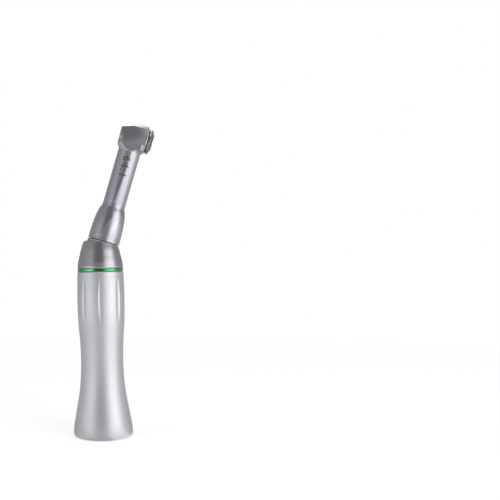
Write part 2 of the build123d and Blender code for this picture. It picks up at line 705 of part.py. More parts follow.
# ---------------------------------------------------------------- head
def head_housing():
    """The neck tube and the head in one piece, bored for the shaft, the spindle and its bearings."""
    head = HEAD * turned(
        (0, HEAD_NOSE_U),
        (HEAD_NOSE_R - HEAD_EDGE, HEAD_NOSE_U),
        (HEAD_NOSE_R, HEAD_NOSE_U + HEAD_EDGE),
        (HEAD_R, HEAD_TAPER_U),
        (HEAD_R, HEAD_END_U - HEAD_EDGE),
        (HEAD_R - HEAD_EDGE, HEAD_END_U),
        (0, HEAD_END_U),
    )
    low = HEAD_T - FLARE_LOW_N
    high = HEAD_T - FLARE_TOP_N
    chord_r, chord_t = (NECK_R + FLARE_R) / 2, (low + high) / 2
    curve = ThreePointArc((NECK_R, low), (chord_r - FLARE_SAG_IN, chord_t + FLARE_SAG_UP), (FLARE_R, high))
    sides = Polyline((FLARE_R, high), (FLARE_R, HEAD_T), (0, HEAD_T), (0, low), (NECK_R, low))
    flare = revolve(Plane.XZ * make_face(curve + sides), axis=Axis.Z)
    face_u = HEAD_END_U - HEAD_EDGE / 2
    span = 4 * FLARE_R
    flare &= Pos((HEAD_NOSE_U + face_u) / 2, 0, HEAD_T) * Box(face_u - HEAD_NOSE_U, span, span)
    facet = Rot(0, -FLARE_CUT_ANGLE, 0) * Box(2 * FLARE_CUT_DEPTH, span, FLARE_CUT_HEIGHT)
    flare -= Pos(HEAD_NOSE_U, 0, HEAD_T - FLARE_CUT_N) * facet
    outside = head + NECK * flare
    slab_length = HEAD_FLAT_END_U - 2 * HEAD_NOSE_U
    for side in (1, -1):
        middle = (0, side * (HEAD_FLAT + span / 2), HEAD_FLAT_END_U - slab_length / 2)
        outside -= HEAD * Pos(*middle) * Box(span, span, slab_length)
    outside += NECK * tube(0, NECK_R, NECK_SEAT_T, HEAD_T - HEAD_R / 2)

    bore = tube(0, REAR_BEARING_OUTER_R, FRONT_BEARING_U + FRONT_BEARING_WIDTH, HEAD_END_U + 1)
    bore += tube(0, FRONT_BEARING_OUTER_R, FRONT_BEARING_U, FRONT_BEARING_U + FRONT_BEARING_WIDTH)
    bore += tube(0, SPINDLE_HOLE_R, HEAD_NOSE_U - 1, FRONT_BEARING_U)
    bore += tube(0, CAP_THREAD_R, REAR_BEARING_END_U, HEAD_END_U + 1)
    return outside - HEAD * bore - NECK * tube(0, NECK_BORE_R, NECK_SEAT_T, HEAD_T - 1)


def pinion_cone():
    """Half angle of the head pinion's pitch cone, in degrees."""
    return math.degrees(math.atan2(PINION_TEETH, SPINDLE_GEAR_TEETH))


def head_pinion():
    """The bevel pinion on top of the neck shaft."""
    gear = bevel_gear(
        PINION_TEETH,
        SPINDLE_GEAR_R * PINION_TEETH / SPINDLE_GEAR_TEETH,
        pinion_cone(),
        SPINDLE_GEAR_PRESSURE,
        HEAD_ADDENDUM,
        HEAD_DEDENDUM,
        SPINDLE_GEAR_FACE,
        PINION_BACK,
        (PINION_HUB_R, PINION_HUB),
        0,
        0,
    )
    bored = gear - tube(0, NECK_SHAFT_R, SPINDLE_GEAR_R - PINION_BORE, 2 * SPINDLE_GEAR_R)
    return NECK * Pos(0, 0, HEAD_T) * Rot(180, 0, 0) * bored


def spindle_gear():
    """The larger bevel gear pressed on the spindle."""
    gear = bevel_gear(
        SPINDLE_GEAR_TEETH,
        SPINDLE_GEAR_R,
        90 - pinion_cone(),
        SPINDLE_GEAR_PRESSURE,
        HEAD_ADDENDUM,
        HEAD_DEDENDUM,
        SPINDLE_GEAR_FACE,
        SPINDLE_GEAR_BACK,
        (SPINDLE_R, 0),
        SPINDLE_R,
        180 / SPINDLE_GEAR_TEETH,
    )
    return HEAD * gear


def spindle():
    """The hollow spindle that takes the bur's shank."""
    shoulder_u = REAR_BEARING_U - SLIDING
    return HEAD * turned(
        (CHUCK_BORE_R + CHUCK_LEAD_IN, SPINDLE_NOSE_U),
        (SPINDLE_R - SPINDLE_EDGE, SPINDLE_NOSE_U),
        (SPINDLE_R, SPINDLE_NOSE_U + SPINDLE_EDGE),
        (SPINDLE_R, shoulder_u),
        (REAR_BEARING_BORE_R, shoulder_u),
        (REAR_BEARING_BORE_R, REAR_BEARING_END_U),
        (CHUCK_CHAMBER_R, REAR_BEARING_END_U),
        (CHUCK_CHAMBER_R, CHUCK_CHAMBER_U),
        (CHUCK_BORE_R, CHUCK_CHAMBER_U),
        (CHUCK_BORE_R, SPINDLE_NOSE_U + CHUCK_LEAD_IN),
    )


def chuck_collet():
    """The slotted collet at the back of the spindle that grips the shank's groove."""
    low = CHUCK_CHAMBER_U
    collet = tube(CHUCK_BORE_R, CHUCK_CHAMBER_R - SEAT, low, COLLET_END_U)
    slot = Pos(CHUCK_CHAMBER_R, 0, low) * Box(2, COLLET_SLOT, 2 * (COLLET_END_U - COLLET_SOLID - low))
    return HEAD * (collet - around(COLLET_SLOTS, slot))


def head_cap():
    """The threaded cap ring that closes the head and guides the button."""
    bore_r = BUTTON_SHOULDER_R + SLIDING
    rim_u = BUTTON_SHOULDER_U + SLIDING
    return HEAD * turned(
        (CAP_LIP_BORE_R, CAP_LIP_U),
        (CAP_THREAD_R - SEAT, CAP_LIP_U),
        (CAP_THREAD_R - SEAT, HEAD_END_U),
        (CAP_NECK_R - SEAT, HEAD_END_U),
        (CAP_NECK_R - SEAT, CAP_RIM_U),
        (CAP_R - CAP_EDGE, CAP_RIM_U),
        (CAP_R, CAP_RIM_U + CAP_EDGE),
        (CAP_R, CAP_RIM_U + CAP_SKIRT),
        (CAP_TOP_R, CAP_TOP_U),
        (BUTTON_FACE_R + SLIDING, CAP_TOP_U),
        (BUTTON_FACE_R + SLIDING, rim_u),
        (bore_r, rim_u),
        (bore_r, CAP_LIP_U + CAP_LIP),
        (CAP_LIP_BORE_R, CAP_LIP_U + CAP_LIP),
    )


def push_button():
    """The button with its plunger, free to slide in the cap ring."""
    button = turned(
        (0, PLUNGER_TIP_U),
        (PLUNGER_R - PLUNGER_POINT, PLUNGER_TIP_U),
        (PLUNGER_R, PLUNGER_TIP_U + PLUNGER_POINT),
        (PLUNGER_R, BUTTON_POCKET_U),
        (BUTTON_POCKET_R, BUTTON_POCKET_U),
        (BUTTON_POCKET_R, BUTTON_LOW_U),
        (BUTTON_SHOULDER_R, BUTTON_LOW_U),
        (BUTTON_SHOULDER_R, BUTTON_SHOULDER_U),
        (BUTTON_FACE_R, BUTTON_SHOULDER_U),
        (BUTTON_FACE_R, BUTTON_FACE_U - BUTTON_EDGE),
        (BUTTON_FACE_R - BUTTON_EDGE, BUTTON_FACE_U),
        (0, BUTTON_FACE_U),
    )
    return HEAD * button


def button_spring():
    """The coil spring between the cap ring's lip and the button."""
    low = CAP_LIP_U + CAP_LIP + SPRING_WIRE_R + SEAT
    height = BUTTON_POCKET_U - SPRING_WIRE_R - SEAT - low
    path = Helix(height / SPRING_TURNS, height, SPRING_R)
    start = path @ 0
    wire = Plane(origin=start, z_dir=path % 0) * Circle(SPRING_WIRE_R)
    return HEAD * Pos(0, 0, low) * sweep(wire, path=path)


# ---------------------------------------------------------------- assembly
def placed(location, shapes):
    """A list of shapes moved together."""
    return [location * shape for shape in shapes]


def pieces():
    """Every node's shape or list of shapes, by name."""
    nodes = {
        "grip_sheath": grip_sheath(),
        "rear_lock_ring": rear_lock_ring(),
        "coupling_sleeve": coupling_sleeve(),
        "rear_bearing_holder": rear_bearing_holder(),
        "gear_case": gear_case(),
        "front_bearing_holder": front_bearing_holder(),
        "bearing_spacer": bearing_spacer(),
        "bearing_lock_nut": bearing_lock_nut(),
        "thrust_washers": thrust_washers(),
        "o_rings": o_rings(),
        "green_ring": green_ring(),
        "bend_housing": bend_housing(),
        "neck_sleeve": neck_sleeve(),
        "head_housing": head_housing(),
        "head_cap": head_cap(),
        "drive_dog": drive_dog(),
        "input_shaft": input_shaft(),
        "first_carrier": first_carrier(),
        "first_carrier_pins": planet_pins(PLANET_1_Z, CARRIER_1_Z + CARRIER_HEIGHT),
        "second_carrier": carrier(CARRIER_2_Z),
        "second_carrier_pins": planet_pins(PLANET_2_Z, CARRIER_2_Z + CARRIER_HEIGHT),
        "output_shaft": output_shaft(),
        "output_clip": output_clip(),
        "lower_crown_gear": lower_crown_gear(),
        "upper_crown_gear": upper_crown_gear(),
        "neck_shaft": neck_shaft(),
        "head_pinion": head_pinion(),
        "spindle": spindle(),
        "spindle_gear": spindle_gear(),
        "chuck_collet": chuck_collet(),
        "push_button": push_button(),
        "button_spring": button_spring(),
    }
    stages = ((PLANET_1_Z, FIRST_STAGE_WIDTH), (PLANET_2_Z, SECOND_STAGE_WIDTH))
    for stage, (low, width) in enumerate(stages, 1):
        for index in range(PLANETS):
            nodes[f"planet_gear_{stage}{'abc'[index]}"] = planet(index, low, width)

    upright = Location((0, 0, 0))
    sets = (
        ("input_bearing", SHAFT_BEARING, (INPUT_BEARING_Z, INPUT_BEARING_Z + SHAFT_BEARING_WIDTH), upright),
        ("output_bearing", SHAFT_BEARING, (OUTPUT_BEARING_Z, UPPER_BEARING_Z), upright),
        ("neck_bearing", NECK_BEARING, (NECK_REAR_BEARING_T, NECK_FRONT_BEARING_T), NECK),
        ("head_front_bearing", FRONT_BEARING, (FRONT_BEARING_U,), HEAD),
        ("head_rear_bearing", REAR_BEARING, (REAR_BEARING_U,), HEAD),
    )
    for name, size, lows, frame in sets:
        groups = bearings(size, lows)
        for part, shapes in zip(("outer", "inner", "balls"), groups):
            nodes[f"{name}_{part}"] = placed(frame, shapes)
    return nodes


def write(nodes):
    """One STEP file for each node."""
    os.makedirs("parts", exist_ok=True)
    for name, shape in nodes.items():
        solids = []
        for item in shape if isinstance(shape, (list, ShapeList)) else [shape]:
            solids += item.solids()
        export_step(solids[0] if len(solids) == 1 else Compound(children=solids), f"parts/{name}.step")


write(pieces())
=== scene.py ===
"""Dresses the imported 64:1 reduction contra-angle handpiece for a studio picture.

The grip stands on its drive end along +Z. The neck leans towards +X, and the bur axis of the head
crosses it at a right angle. Outlines are lists of (radius, height) in millimetres about the piece's
own axis, in the grip's, the neck's or the head's frame, and every finished mesh is in metres in the
row frame. The handpiece's classes hold millimetres and degrees, and the studio's metres and degrees.
Names that end in _r are radii, in _z heights on the grip's axis, in _t places along the neck's axis
and in _u places along the bur's axis, which count from where it crosses the neck's.
"""
import json
import logging
import math
from dataclasses import dataclass, field
from enum import Enum
from typing import Callable

import bmesh
import bpy
from mathutils import Matrix, Vector


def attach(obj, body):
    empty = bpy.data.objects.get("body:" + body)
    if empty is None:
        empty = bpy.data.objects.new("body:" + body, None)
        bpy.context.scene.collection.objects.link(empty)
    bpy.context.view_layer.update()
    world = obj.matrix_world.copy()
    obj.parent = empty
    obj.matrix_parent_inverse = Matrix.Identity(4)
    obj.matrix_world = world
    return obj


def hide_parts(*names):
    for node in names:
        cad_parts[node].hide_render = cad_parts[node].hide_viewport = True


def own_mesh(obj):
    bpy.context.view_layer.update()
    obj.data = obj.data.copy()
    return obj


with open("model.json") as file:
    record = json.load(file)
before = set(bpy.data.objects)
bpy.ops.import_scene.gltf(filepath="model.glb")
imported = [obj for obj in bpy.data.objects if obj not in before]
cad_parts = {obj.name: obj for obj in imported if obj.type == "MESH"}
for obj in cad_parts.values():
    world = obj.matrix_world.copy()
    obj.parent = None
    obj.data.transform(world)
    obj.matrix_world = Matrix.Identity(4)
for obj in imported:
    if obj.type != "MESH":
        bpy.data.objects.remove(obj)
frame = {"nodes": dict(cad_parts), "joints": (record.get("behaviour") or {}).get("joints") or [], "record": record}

LOG = logging.getLogger("handpiece")
MM = 0.001
SEGMENTS = 192
NOISE_REACH = (0.3, 0.7)  # between these a noise lies nearly everywhere
RING_WANDER = 0.00012  # how far a turned ring strays from its height, in metres
FIT = 0.02  # room left between two pieces that sit in each other, in millimetres
OVERRUN = 1.0  # how far a cutter reaches past what it cuts, in millimetres
WHITE = (1, 1, 1, 1)

Point = tuple[float, float]
Outline = list[Point]
Triple = tuple[float, float, float]
Sockets = dict[str | int, object]


class Axis(Enum):
    """The three lines that the handpiece is turned about."""

    GRIP = "grip"
    NECK = "neck_spin"
    HEAD = "spindle_spin"

    def place(self) -> Matrix:
        """Gives the frame with its +Z on this line.

        Returns:
            The matrix from the line's own frame to the row frame.
        """
        if self is Axis.GRIP:
            return Matrix.Identity(4)
        joint = next(j for j in frame["joints"] if j["name"] == self.value)
        up = Vector(joint["axis"]).normalized()
        side = Vector((0, 1, 0))
        turn = Matrix((side.cross(up), side, up)).transposed().to_4x4()
        return Matrix.Translation(Vector(joint["pos_m"])) @ turn


# ---------------------------------------------------------------- outlines
def flowing(stations: Outline, steps: int = 8) -> Outline:
    """Runs a smooth curve through a few stations.

    Args:
        stations: the points that the curve passes.
        steps: how many straight pieces each span gets.

    Returns:
        The curve's points, ends included.
    """
    points = [Vector(p) for p in stations]
    reach = [(b - a).length for a, b in zip(points, points[1:])]
    slopes = [(points[1] - points[0]) / reach[0]]
    for i in range(1, len(points) - 1):
        before = (points[i] - points[i - 1]) / reach[i - 1]
        after = (points[i + 1] - points[i]) / reach[i]
        share = reach[i - 1] / (reach[i - 1] + reach[i])
        slopes.append(before * (1 - share) + after * share)
    slopes.append((points[-1] - points[-2]) / reach[-1])
    curve = [tuple(points[0])]
    for i, span in enumerate(reach):
        for k in range(1, steps + 1):
            t = k / steps
            near = (1 + 2 * t) * (1 - t) ** 2 * points[i] + t * (1 - t) ** 2 * span * slopes[i]
            far = t * t * (3 - 2 * t) * points[i + 1] - t * t * (1 - t) * span * slopes[i + 1]
            curve.append(tuple(near + far))
    return curve


def arc(centre: Point, radius: float, start: float, end: float, steps: int = 8) -> Outline:
    """Gives the points of a circular arc between two angles in degrees, ends included."""
    angles = [math.radians(start + (end - start) * k / steps) for k in range(steps + 1)]
    return [(centre[0] + radius * math.cos(a), centre[1] + radius * math.sin(a)) for a in angles]


def notch(radius: float, height: float, width: float, depth: float) -> Outline:
    """Gives the three points of a fine turned groove."""
    return [(radius, height - width / 2), (radius - depth, height), (radius, height + width / 2)]


def between(start: Point, end: Point, shares: tuple[Point, ...]) -> Outline:
    """Gives points at shares of the way from one point to another."""
    return [(start[0] + a * (end[0] - start[0]), start[1] + u * (end[1] - start[1])) for a, u in shares]


def radius_at(curve: Outline, height: float) -> float:
    """Reads a curve's radius at a height by straight interpolation.

    Args:
        curve: the curve's points.
        height: the height that is looked up.

    Returns:
        The radius there, or the curve's last one where the height lies past its ends.
    """
    ordered = sorted(curve, key=lambda p: p[1])
    for (r0, z0), (r1, z1) in zip(ordered, ordered[1:]):
        if z0 <= height <= z1 and z1 > z0:
            return r0 + (r1 - r0) * (height - z0) / (z1 - z0)
    return ordered[-1][0]


# ---------------------------------------------------------------- workshop operations
def deselect() -> None:
    """Leaves every object deselected and in object mode."""
    if bpy.context.object and bpy.context.object.mode != "OBJECT":
        bpy.ops.object.mode_set(mode="OBJECT")
    bpy.ops.object.select_all(action="DESELECT")


def pick(obj: bpy.types.Object) -> None:
    """Selects one object alone and makes it active.

    Args:
        obj: the object.
    """
    deselect()
    obj.select_set(True)
    bpy.context.view_layer.objects.active = obj


def edit_all() -> None:
    """Enters edit mode on the active object with its whole mesh selected."""
    bpy.ops.object.mode_set(mode="EDIT")
    bpy.ops.mesh.select_all(action="SELECT")


def leave_edit() -> None:
    """Goes back to object mode."""
    bpy.ops.object.mode_set(mode="OBJECT")


def face_outwards() -> None:
    """Turns every face of the mesh in edit mode outwards."""
    bpy.ops.mesh.select_all(action="SELECT")
    bpy.ops.mesh.normals_make_consistent(inside=False)


def settle() -> None:
    """Moves the active object's place, turn and size into its mesh."""
    bpy.ops.object.transform_apply(location=True, rotation=True, scale=True)


def pick_edges(obj: bpy.types.Object, rule: Callable[[bmesh.types.BMEdge], bool]) -> None:
    """Selects the edges of the mesh in edit mode that a rule accepts.

    Args:
        obj: the object in edit mode.
        rule: says for an edge whether it is taken.
    """
    bpy.ops.mesh.select_all(action="DESELECT")
    bpy.ops.mesh.select_mode(type="EDGE")
    mesh = bmesh.from_edit_mesh(obj.data)
    for edge in mesh.edges:
        if rule(edge):
            edge.select_set(True)
    bmesh.update_edit_mesh(obj.data)


def turned(name: str, outline: Outline, axis: Axis, segments: int = SEGMENTS) -> bpy.types.Object:
    """Draws a turned piece ring by ring from its outline.

    Args:
        name: the piece's name.
        outline: its closed outline in millimetres; a solid's starts and ends at radius 0.
        axis: the line it is turned about.
        segments: how many sides a ring has.

    Returns:
        The finished piece, at its place in the row frame.
    """
    solid = outline[0][0] == 0
    rings = [p for p in outline if p[0] > 0]
    first_r, first_z = rings[0]
    deselect()
    bpy.ops.mesh.primitive_circle_add(vertices=segments, radius=first_r * MM, location=(0, 0, 0))
    obj = bpy.context.object
    obj.name = name
    edit_all()
    bpy.ops.transform.translate(value=(0, 0, first_z * MM))
    before_r, before_z = first_r, first_z
    for r, z in rings[1:]:
        bpy.ops.mesh.extrude_edges_move(TRANSFORM_OT_translate={"value": (0, 0, (z - before_z) * MM)})
        grow = r / before_r
        bpy.ops.transform.resize(value=(grow, grow, 1), center_override=(0, 0, z * MM))
        before_r, before_z = r, z
    pick_edges(obj, lambda e: e.is_boundary)
    if solid:
        bpy.ops.mesh.fill_holes(sides=segments)
    else:
        bpy.ops.mesh.bridge_edge_loops()
    face_outwards()
    leave_edit()
    obj.matrix_world = axis.place()
    settle()
    return obj


def cut_off(obj: bpy.types.Object, point: Vector, normal: Vector) -> None:
    """Cuts away what lies beyond a plane and closes the cut.

    Args:
        obj: the piece, in the row frame.
        point: a point of the plane, in metres.
        normal: the plane's normal, towards what goes.
    """
    pick(obj)
    edit_all()
    bpy.ops.mesh.bisect(plane_co=point, plane_no=normal, use_fill=True, clear_outer=True, threshold=1e-7)
    leave_edit()


def tidy_mesh(obj: bpy.types.Object, reach: float = 4e-6) -> None:
    """Merges close points and removes faces and edges of no size.

    Args:
        obj: the piece.
        reach: how near two points are to be one, in metres.
    """
    pick(obj)
    edit_all()
    bpy.ops.mesh.remove_doubles(threshold=reach)
    bpy.ops.mesh.dissolve_degenerate(threshold=reach / 2)
    bpy.ops.mesh.delete_loose(use_verts=True, use_edges=True, use_faces=False)
    leave_edit()


class Joining(Enum):
    """How one solid acts on another."""

    ADD = "UNION"
    TAKE = "DIFFERENCE"
    KEEP = "INTERSECT"


def combine(obj: bpy.types.Object, other: bpy.types.Object, how: Joining) -> None:
    """Adds another solid to a piece, takes it away or keeps what they share.

    Args:
        obj: the piece that stays.
        other: the solid that is used up.
        how: what is done.
    """
    pick(obj)
    modifier = obj.modifiers.new("combine", "BOOLEAN")
    modifier.operation = how.value
    modifier.solver = "EXACT"
    modifier.use_self = how is Joining.KEEP
    modifier.object = other
    bpy.ops.object.modifier_apply(modifier=modifier.name)
    bpy.data.objects.remove(other)
    tidy_mesh(obj)


def mark_edges(obj: bpy.types.Object, rule: Callable[[bmesh.types.BMEdge], bool]) -> None:
    """Gives the edges that a rule accepts a full bevel weight.

    Args:
        obj: the piece.
        rule: says for an edge whether it is taken.
    """
    pick(obj)
    edit_all()
    bpy.ops.transform.edge_bevelweight(value=-1)
    pick_edges(obj, rule)
    bpy.ops.transform.edge_bevelweight(value=1)
    leave_edit()


def soften(obj: bpy.types.Object, width: float, angle: float = 28, segments: int = 3,
           weighted: bool = False) -> None:
    """Breaks the sharp edges of a piece.

    Args:
        obj: the piece.
        width: how far the break reaches, in millimetres.
        angle: edges turning less than this many degrees stay.
        segments: how many faces the break has.
        weighted: takes the marked edges instead of all sharp ones.
    """
    pick(obj)
    modifier = obj.modifiers.new("edges", "BEVEL")
    modifier.width = width * MM
    modifier.segments = segments
    modifier.limit_method = "WEIGHT" if weighted else "ANGLE"
    modifier.angle_limit = math.radians(angle)
    modifier.use_clamp_overlap = False
    modifier.loop_slide = True
    bpy.ops.object.modifier_apply(modifier=modifier.name)


def shade(obj: bpy.types.Object, angle: float = 30) -> None:
    """Shades a piece smoothly, except over edges sharper than an angle in degrees."""
    pick(obj)
    bpy.ops.object.shade_smooth_by_angle(angle=math.radians(angle))


def copies_around(obj: bpy.types.Object, count: int) -> bpy.types.Object:
    """Repeats a shape evenly about the grip's axis and joins the copies.

    Args:
        obj: the shape, in its first place.
        count: how many there are in all.

    Returns:
        One object with all of them.
    """
    made = [obj]
    for i in range(1, count):
        twin = obj.copy()
        twin.data = obj.data.copy()
        bpy.context.scene.collection.objects.link(twin)
        twin.matrix_world = Matrix.Rotation(2 * math.pi * i / count, 4, "Z")
        pick(twin)
        settle()
        made.append(twin)
    pick(obj)
    for twin in made:
        twin.select_set(True)
    bpy.ops.object.join()
    return obj


# ---------------------------------------------------------------- shader groups
@dataclass
class Wiring:
    """A node tree and short ways to add to it."""

    tree: bpy.types.NodeTree

    def node(self, kind: str, sockets: Sockets | None = None, **values: object) -> bpy.types.Node:
        """Adds a node, sets its plain properties and feeds its sockets.

        Args:
            kind: the node type, without the leading ShaderNode.
            sockets: what each input gets, by its label or number.
            values: the properties to set.

        Returns:
            The new node.
        """
        made = self.tree.nodes.new("ShaderNode" + kind)
        for key, value in values.items():
            setattr(made, key, value)
        self.feed(made, sockets or {})
        return made

    def feed(self, node: bpy.types.Node, sockets: Sockets) -> None:
        """Sets or links some inputs of a node.

        Args:
            node: the node.
            sockets: a plain value or another node's socket for each input, by its label or number.
        """
        for label, value in sockets.items():
            if isinstance(value, bpy.types.NodeSocket):
                self.tree.links.new(value, node.inputs[label])
            else:
                node.inputs[label].default_value = value

    def math(self, operation: str, first: object, second: object = 0.0) -> bpy.types.NodeSocket:
        """Adds a Math node on two sockets or numbers and gives its result."""
        return self.node("Math", {0: first, 1: second}, operation=operation).outputs[0]

    def spread(self, value: bpy.types.NodeSocket, low: float, high: float, start: float,
               end: float) -> bpy.types.NodeSocket:
        """Maps a value that runs from low to high onto start to end, and holds it past the ends."""
        limits = {"From Min": low, "From Max": high, "To Min": start, "To Max": end}
        return self.node("MapRange", {"Value": value, **limits}).outputs["Result"]

    def group(self, key: str, along: bpy.types.NodeSocket, numbers: dict[str, float]) -> bpy.types.Node:
        """Places one of the shared groups and feeds it coordinates and numbers."""
        return self.node("Group", {"Along": along, **numbers}, node_tree=GROUPS[key])

    def dress(self, colours: tuple[Triple, Triple], mask: bpy.types.NodeSocket,
              roughness: bpy.types.NodeSocket, height: bpy.types.NodeSocket) -> None:
        """Feeds the Principled shader its mottled colour, its roughness and its bump.

        Args:
            colours: the clean colour and the dull one.
            mask: where the dull colour lies.
            roughness: the roughness.
            height: the height of the fine relief, in metres.
        """
        clean, dull = colours
        bump = self.node("Bump", {"Strength": 1, "Distance": 1, "Height": height})
        self.feed(self.tree.nodes["Principled BSDF"], {
            "Base Color": self.mix(mask, (*clean, 1), (*dull, 1)), "Roughness": roughness,
            "Normal": bump.outputs["Normal"]})

    def mix(self, share: bpy.types.NodeSocket, first: object, second: object) -> bpy.types.NodeSocket:
        """Blends two colours, sockets or plain ones, by the second one's share."""
        sockets = {"Factor": share, "A": first, "B": second}
        return self.node("Mix", sockets, data_type="RGBA").outputs["Result"]

    def cover(self, share: bpy.types.NodeSocket, lit: bpy.types.Node, seen: bpy.types.Node,
              end: str) -> None:
        """Shows one shader to a share of the rays and another to the rest."""
        blend = self.node("MixShader", {0: share, 1: lit.outputs[0], 2: seen.outputs[0]})
        self.feed(self.tree.nodes[end], {"Surface": blend.outputs[0]})

    def glow(self, strength: bpy.types.NodeSocket, colour: object) -> None:
        """Makes the material do nothing but shine.

        Args:
            strength: how strongly it shines.
            colour: the light's colour, a socket or a plain one.
        """
        self.tree.nodes.remove(self.tree.nodes["Principled BSDF"])
        shine = self.node("Emission", {"Strength": strength, "Color": colour})
        self.feed(self.tree.nodes["Material Output"], {"Surface": shine.outputs[0]})

    def distance(self, place: bpy.types.NodeSocket) -> bpy.types.NodeSocket:
        """Gives how far a place lies from the origin."""
        return self.node("VectorMath", {0: place}, operation="LENGTH").outputs["Value"]

    def backdrop_rays(self) -> bpy.types.NodeSocket:
        """Gives 1 for the rays that see the white surroundings and 0 for those that carry light.

        Returns:
            The share, from Light Path.
        """
        light = self.node("LightPath").outputs
        seen = self.math("MAXIMUM", light["Is Camera Ray"], light["Is Glossy Ray"])
        return self.math("MAXIMUM", seen, light["Is Transmission Ray"])


def new_material(name: str) -> tuple[bpy.types.Material, Wiring]:
    """Starts a material with nodes and gives it with its wiring.

    Args:
        name: the material's name.

    Returns:
        The material and its wiring.
    """
    material = bpy.data.materials.new(name)
    material.use_nodes = True
    return material, Wiring(material.node_tree)


def new_group(name: str, numbers: dict[str, float], results: tuple[str, ...]) -> Wiring:
    """Starts a shader node group that reads coordinates and some numbers.

    Args:
        name: the group's name.
        numbers: each number that it reads, with its default.
        results: the names of what it puts out.

    Returns:
        The wiring of the empty group.
    """
    tree = bpy.data.node_groups.new(name, "ShaderNodeTree")
    tree.interface.new_socket(name="Along", in_out="INPUT", socket_type="NodeSocketVector")
    for label, value in numbers.items():
        entry = tree.interface.new_socket(name=label, in_out="INPUT", socket_type="NodeSocketFloat")
        entry.default_value = value
    for label in results:
        tree.interface.new_socket(name=label, in_out="OUTPUT", socket_type="NodeSocketFloat")
    tree.nodes.new("NodeGroupInput")
    tree.nodes.new("NodeGroupOutput")
    return Wiring(tree)


def turning_marks() -> bpy.types.NodeTree:
    """Builds the group for the fine rings that a lathe tool and a polishing belt leave.

    Returns:
        A group from axis coordinates to a height in metres and a mask from 0 to 1.
    """
    wires = new_group("Turning marks", {"Rings per metre": 9000.0, "Depth": 6e-7}, ("Height", "Mask"))
    entry = wires.tree.nodes["Group Input"].outputs
    wander = wires.node("TexNoise", {"Vector": entry["Along"], "Scale": 90, "Detail": 2}).outputs["Fac"]
    level = wires.node("SeparateXYZ", {0: entry["Along"]}).outputs["Z"]
    height = wires.math("ADD", level, wires.math("MULTIPLY", wander, RING_WANDER))
    scaled = wires.math("MULTIPLY", height, entry["Rings per metre"])
    rings = wires.node("TexNoise", {"W": scaled, "Scale": 1, "Detail": 4, "Roughness": 0.65},
                       noise_dimensions="1D").outputs["Fac"]
    wires.feed(wires.tree.nodes["Group Output"], {
        "Mask": rings, "Height": wires.math("MULTIPLY", rings, entry["Depth"])})
    return wires.tree


def blasted_grain() -> bpy.types.NodeTree:
    """Builds the group for the fine dull grain of a bead-blasted surface.

    Returns:
        A group from coordinates to a height in metres.
    """
    wires = new_group("Blasted grain", {"Grains per metre": 14000.0, "Depth": 1.2e-6}, ("Height",))
    entry = wires.tree.nodes["Group Input"].outputs
    fine = wires.node("TexNoise", {"Vector": entry["Along"], "Scale": entry["Grains per metre"], "Detail": 3,
                                   "Roughness": 0.6}).outputs["Fac"]
    wires.feed(wires.tree.nodes["Group Output"], {"Height": wires.math("MULTIPLY", fine, entry["Depth"])})
    return wires.tree


def handling_clouds() -> bpy.types.NodeTree:
    """Builds the group for the soft uneven sheen that hands and cleaning leave.

    Returns:
        A group from coordinates to a mask from 0 to 1.
    """
    wires = new_group("Handling clouds", {"Size": 160.0}, ("Mask",))
    entry = wires.tree.nodes["Group Input"].outputs
    broad = wires.node("TexNoise", {"Vector": entry["Along"], "Scale": entry["Size"], "Detail": 4,
                                    "Roughness": 0.55, "Distortion": 0.4}).outputs["Fac"]
    wires.feed(wires.tree.nodes["Group Output"], {"Mask": wires.spread(broad, *NOISE_REACH, 0.0, 1.0)})
    return wires.tree


GROUPS = {"rings": turning_marks(), "grain": blasted_grain(), "clouds": handling_clouds()}


# ---------------------------------------------------------------- finishes
@dataclass(frozen=True)
class Metal:
    """A bare metal finish with its tool marks and handling."""

    name: str
    colour: Triple
    dull_colour: Triple
    roughness: float
    roughness_spread: float
    metallic: float = 1.0
    rings_per_metre: float = 9000.0
    ring_depth: float = 5e-7
    grain_depth: float = 0.0
    cloud_size: float = 160.0
    axis: Axis = Axis.GRIP

    def build(self) -> bpy.types.Material:
        """Builds the material.

        Returns:
            The finished material, reading Object coordinates.
        """
        material, wires = new_material(self.name)
        wires.tree.nodes["Principled BSDF"].inputs["Metallic"].default_value = self.metallic
        undo = self.axis.place().inverted()
        along = wires.node("Mapping", {
            "Vector": wires.node("TexCoord").outputs["Object"], "Location": undo.to_translation(),
            "Rotation": undo.to_euler()}, vector_type="POINT").outputs["Vector"]
        rings = wires.group("rings", along, {
            "Rings per metre": self.rings_per_metre, "Depth": self.ring_depth})
        grain = wires.group("grain", along, {"Depth": self.grain_depth})
        mask = wires.group("clouds", along, {"Size": self.cloud_size}).outputs["Mask"]
        half = self.roughness_spread / 2
        base = wires.spread(mask, 0, 1, self.roughness - half, self.roughness + half)
        marks = wires.spread(rings.outputs["Mask"], *NOISE_REACH, -half / 2, half / 2)
        wires.dress((self.colour, self.dull_colour), mask, wires.math("ADD", base, marks),
                    wires.math("ADD", rings.outputs["Height"], grain.outputs["Height"]))
        return material


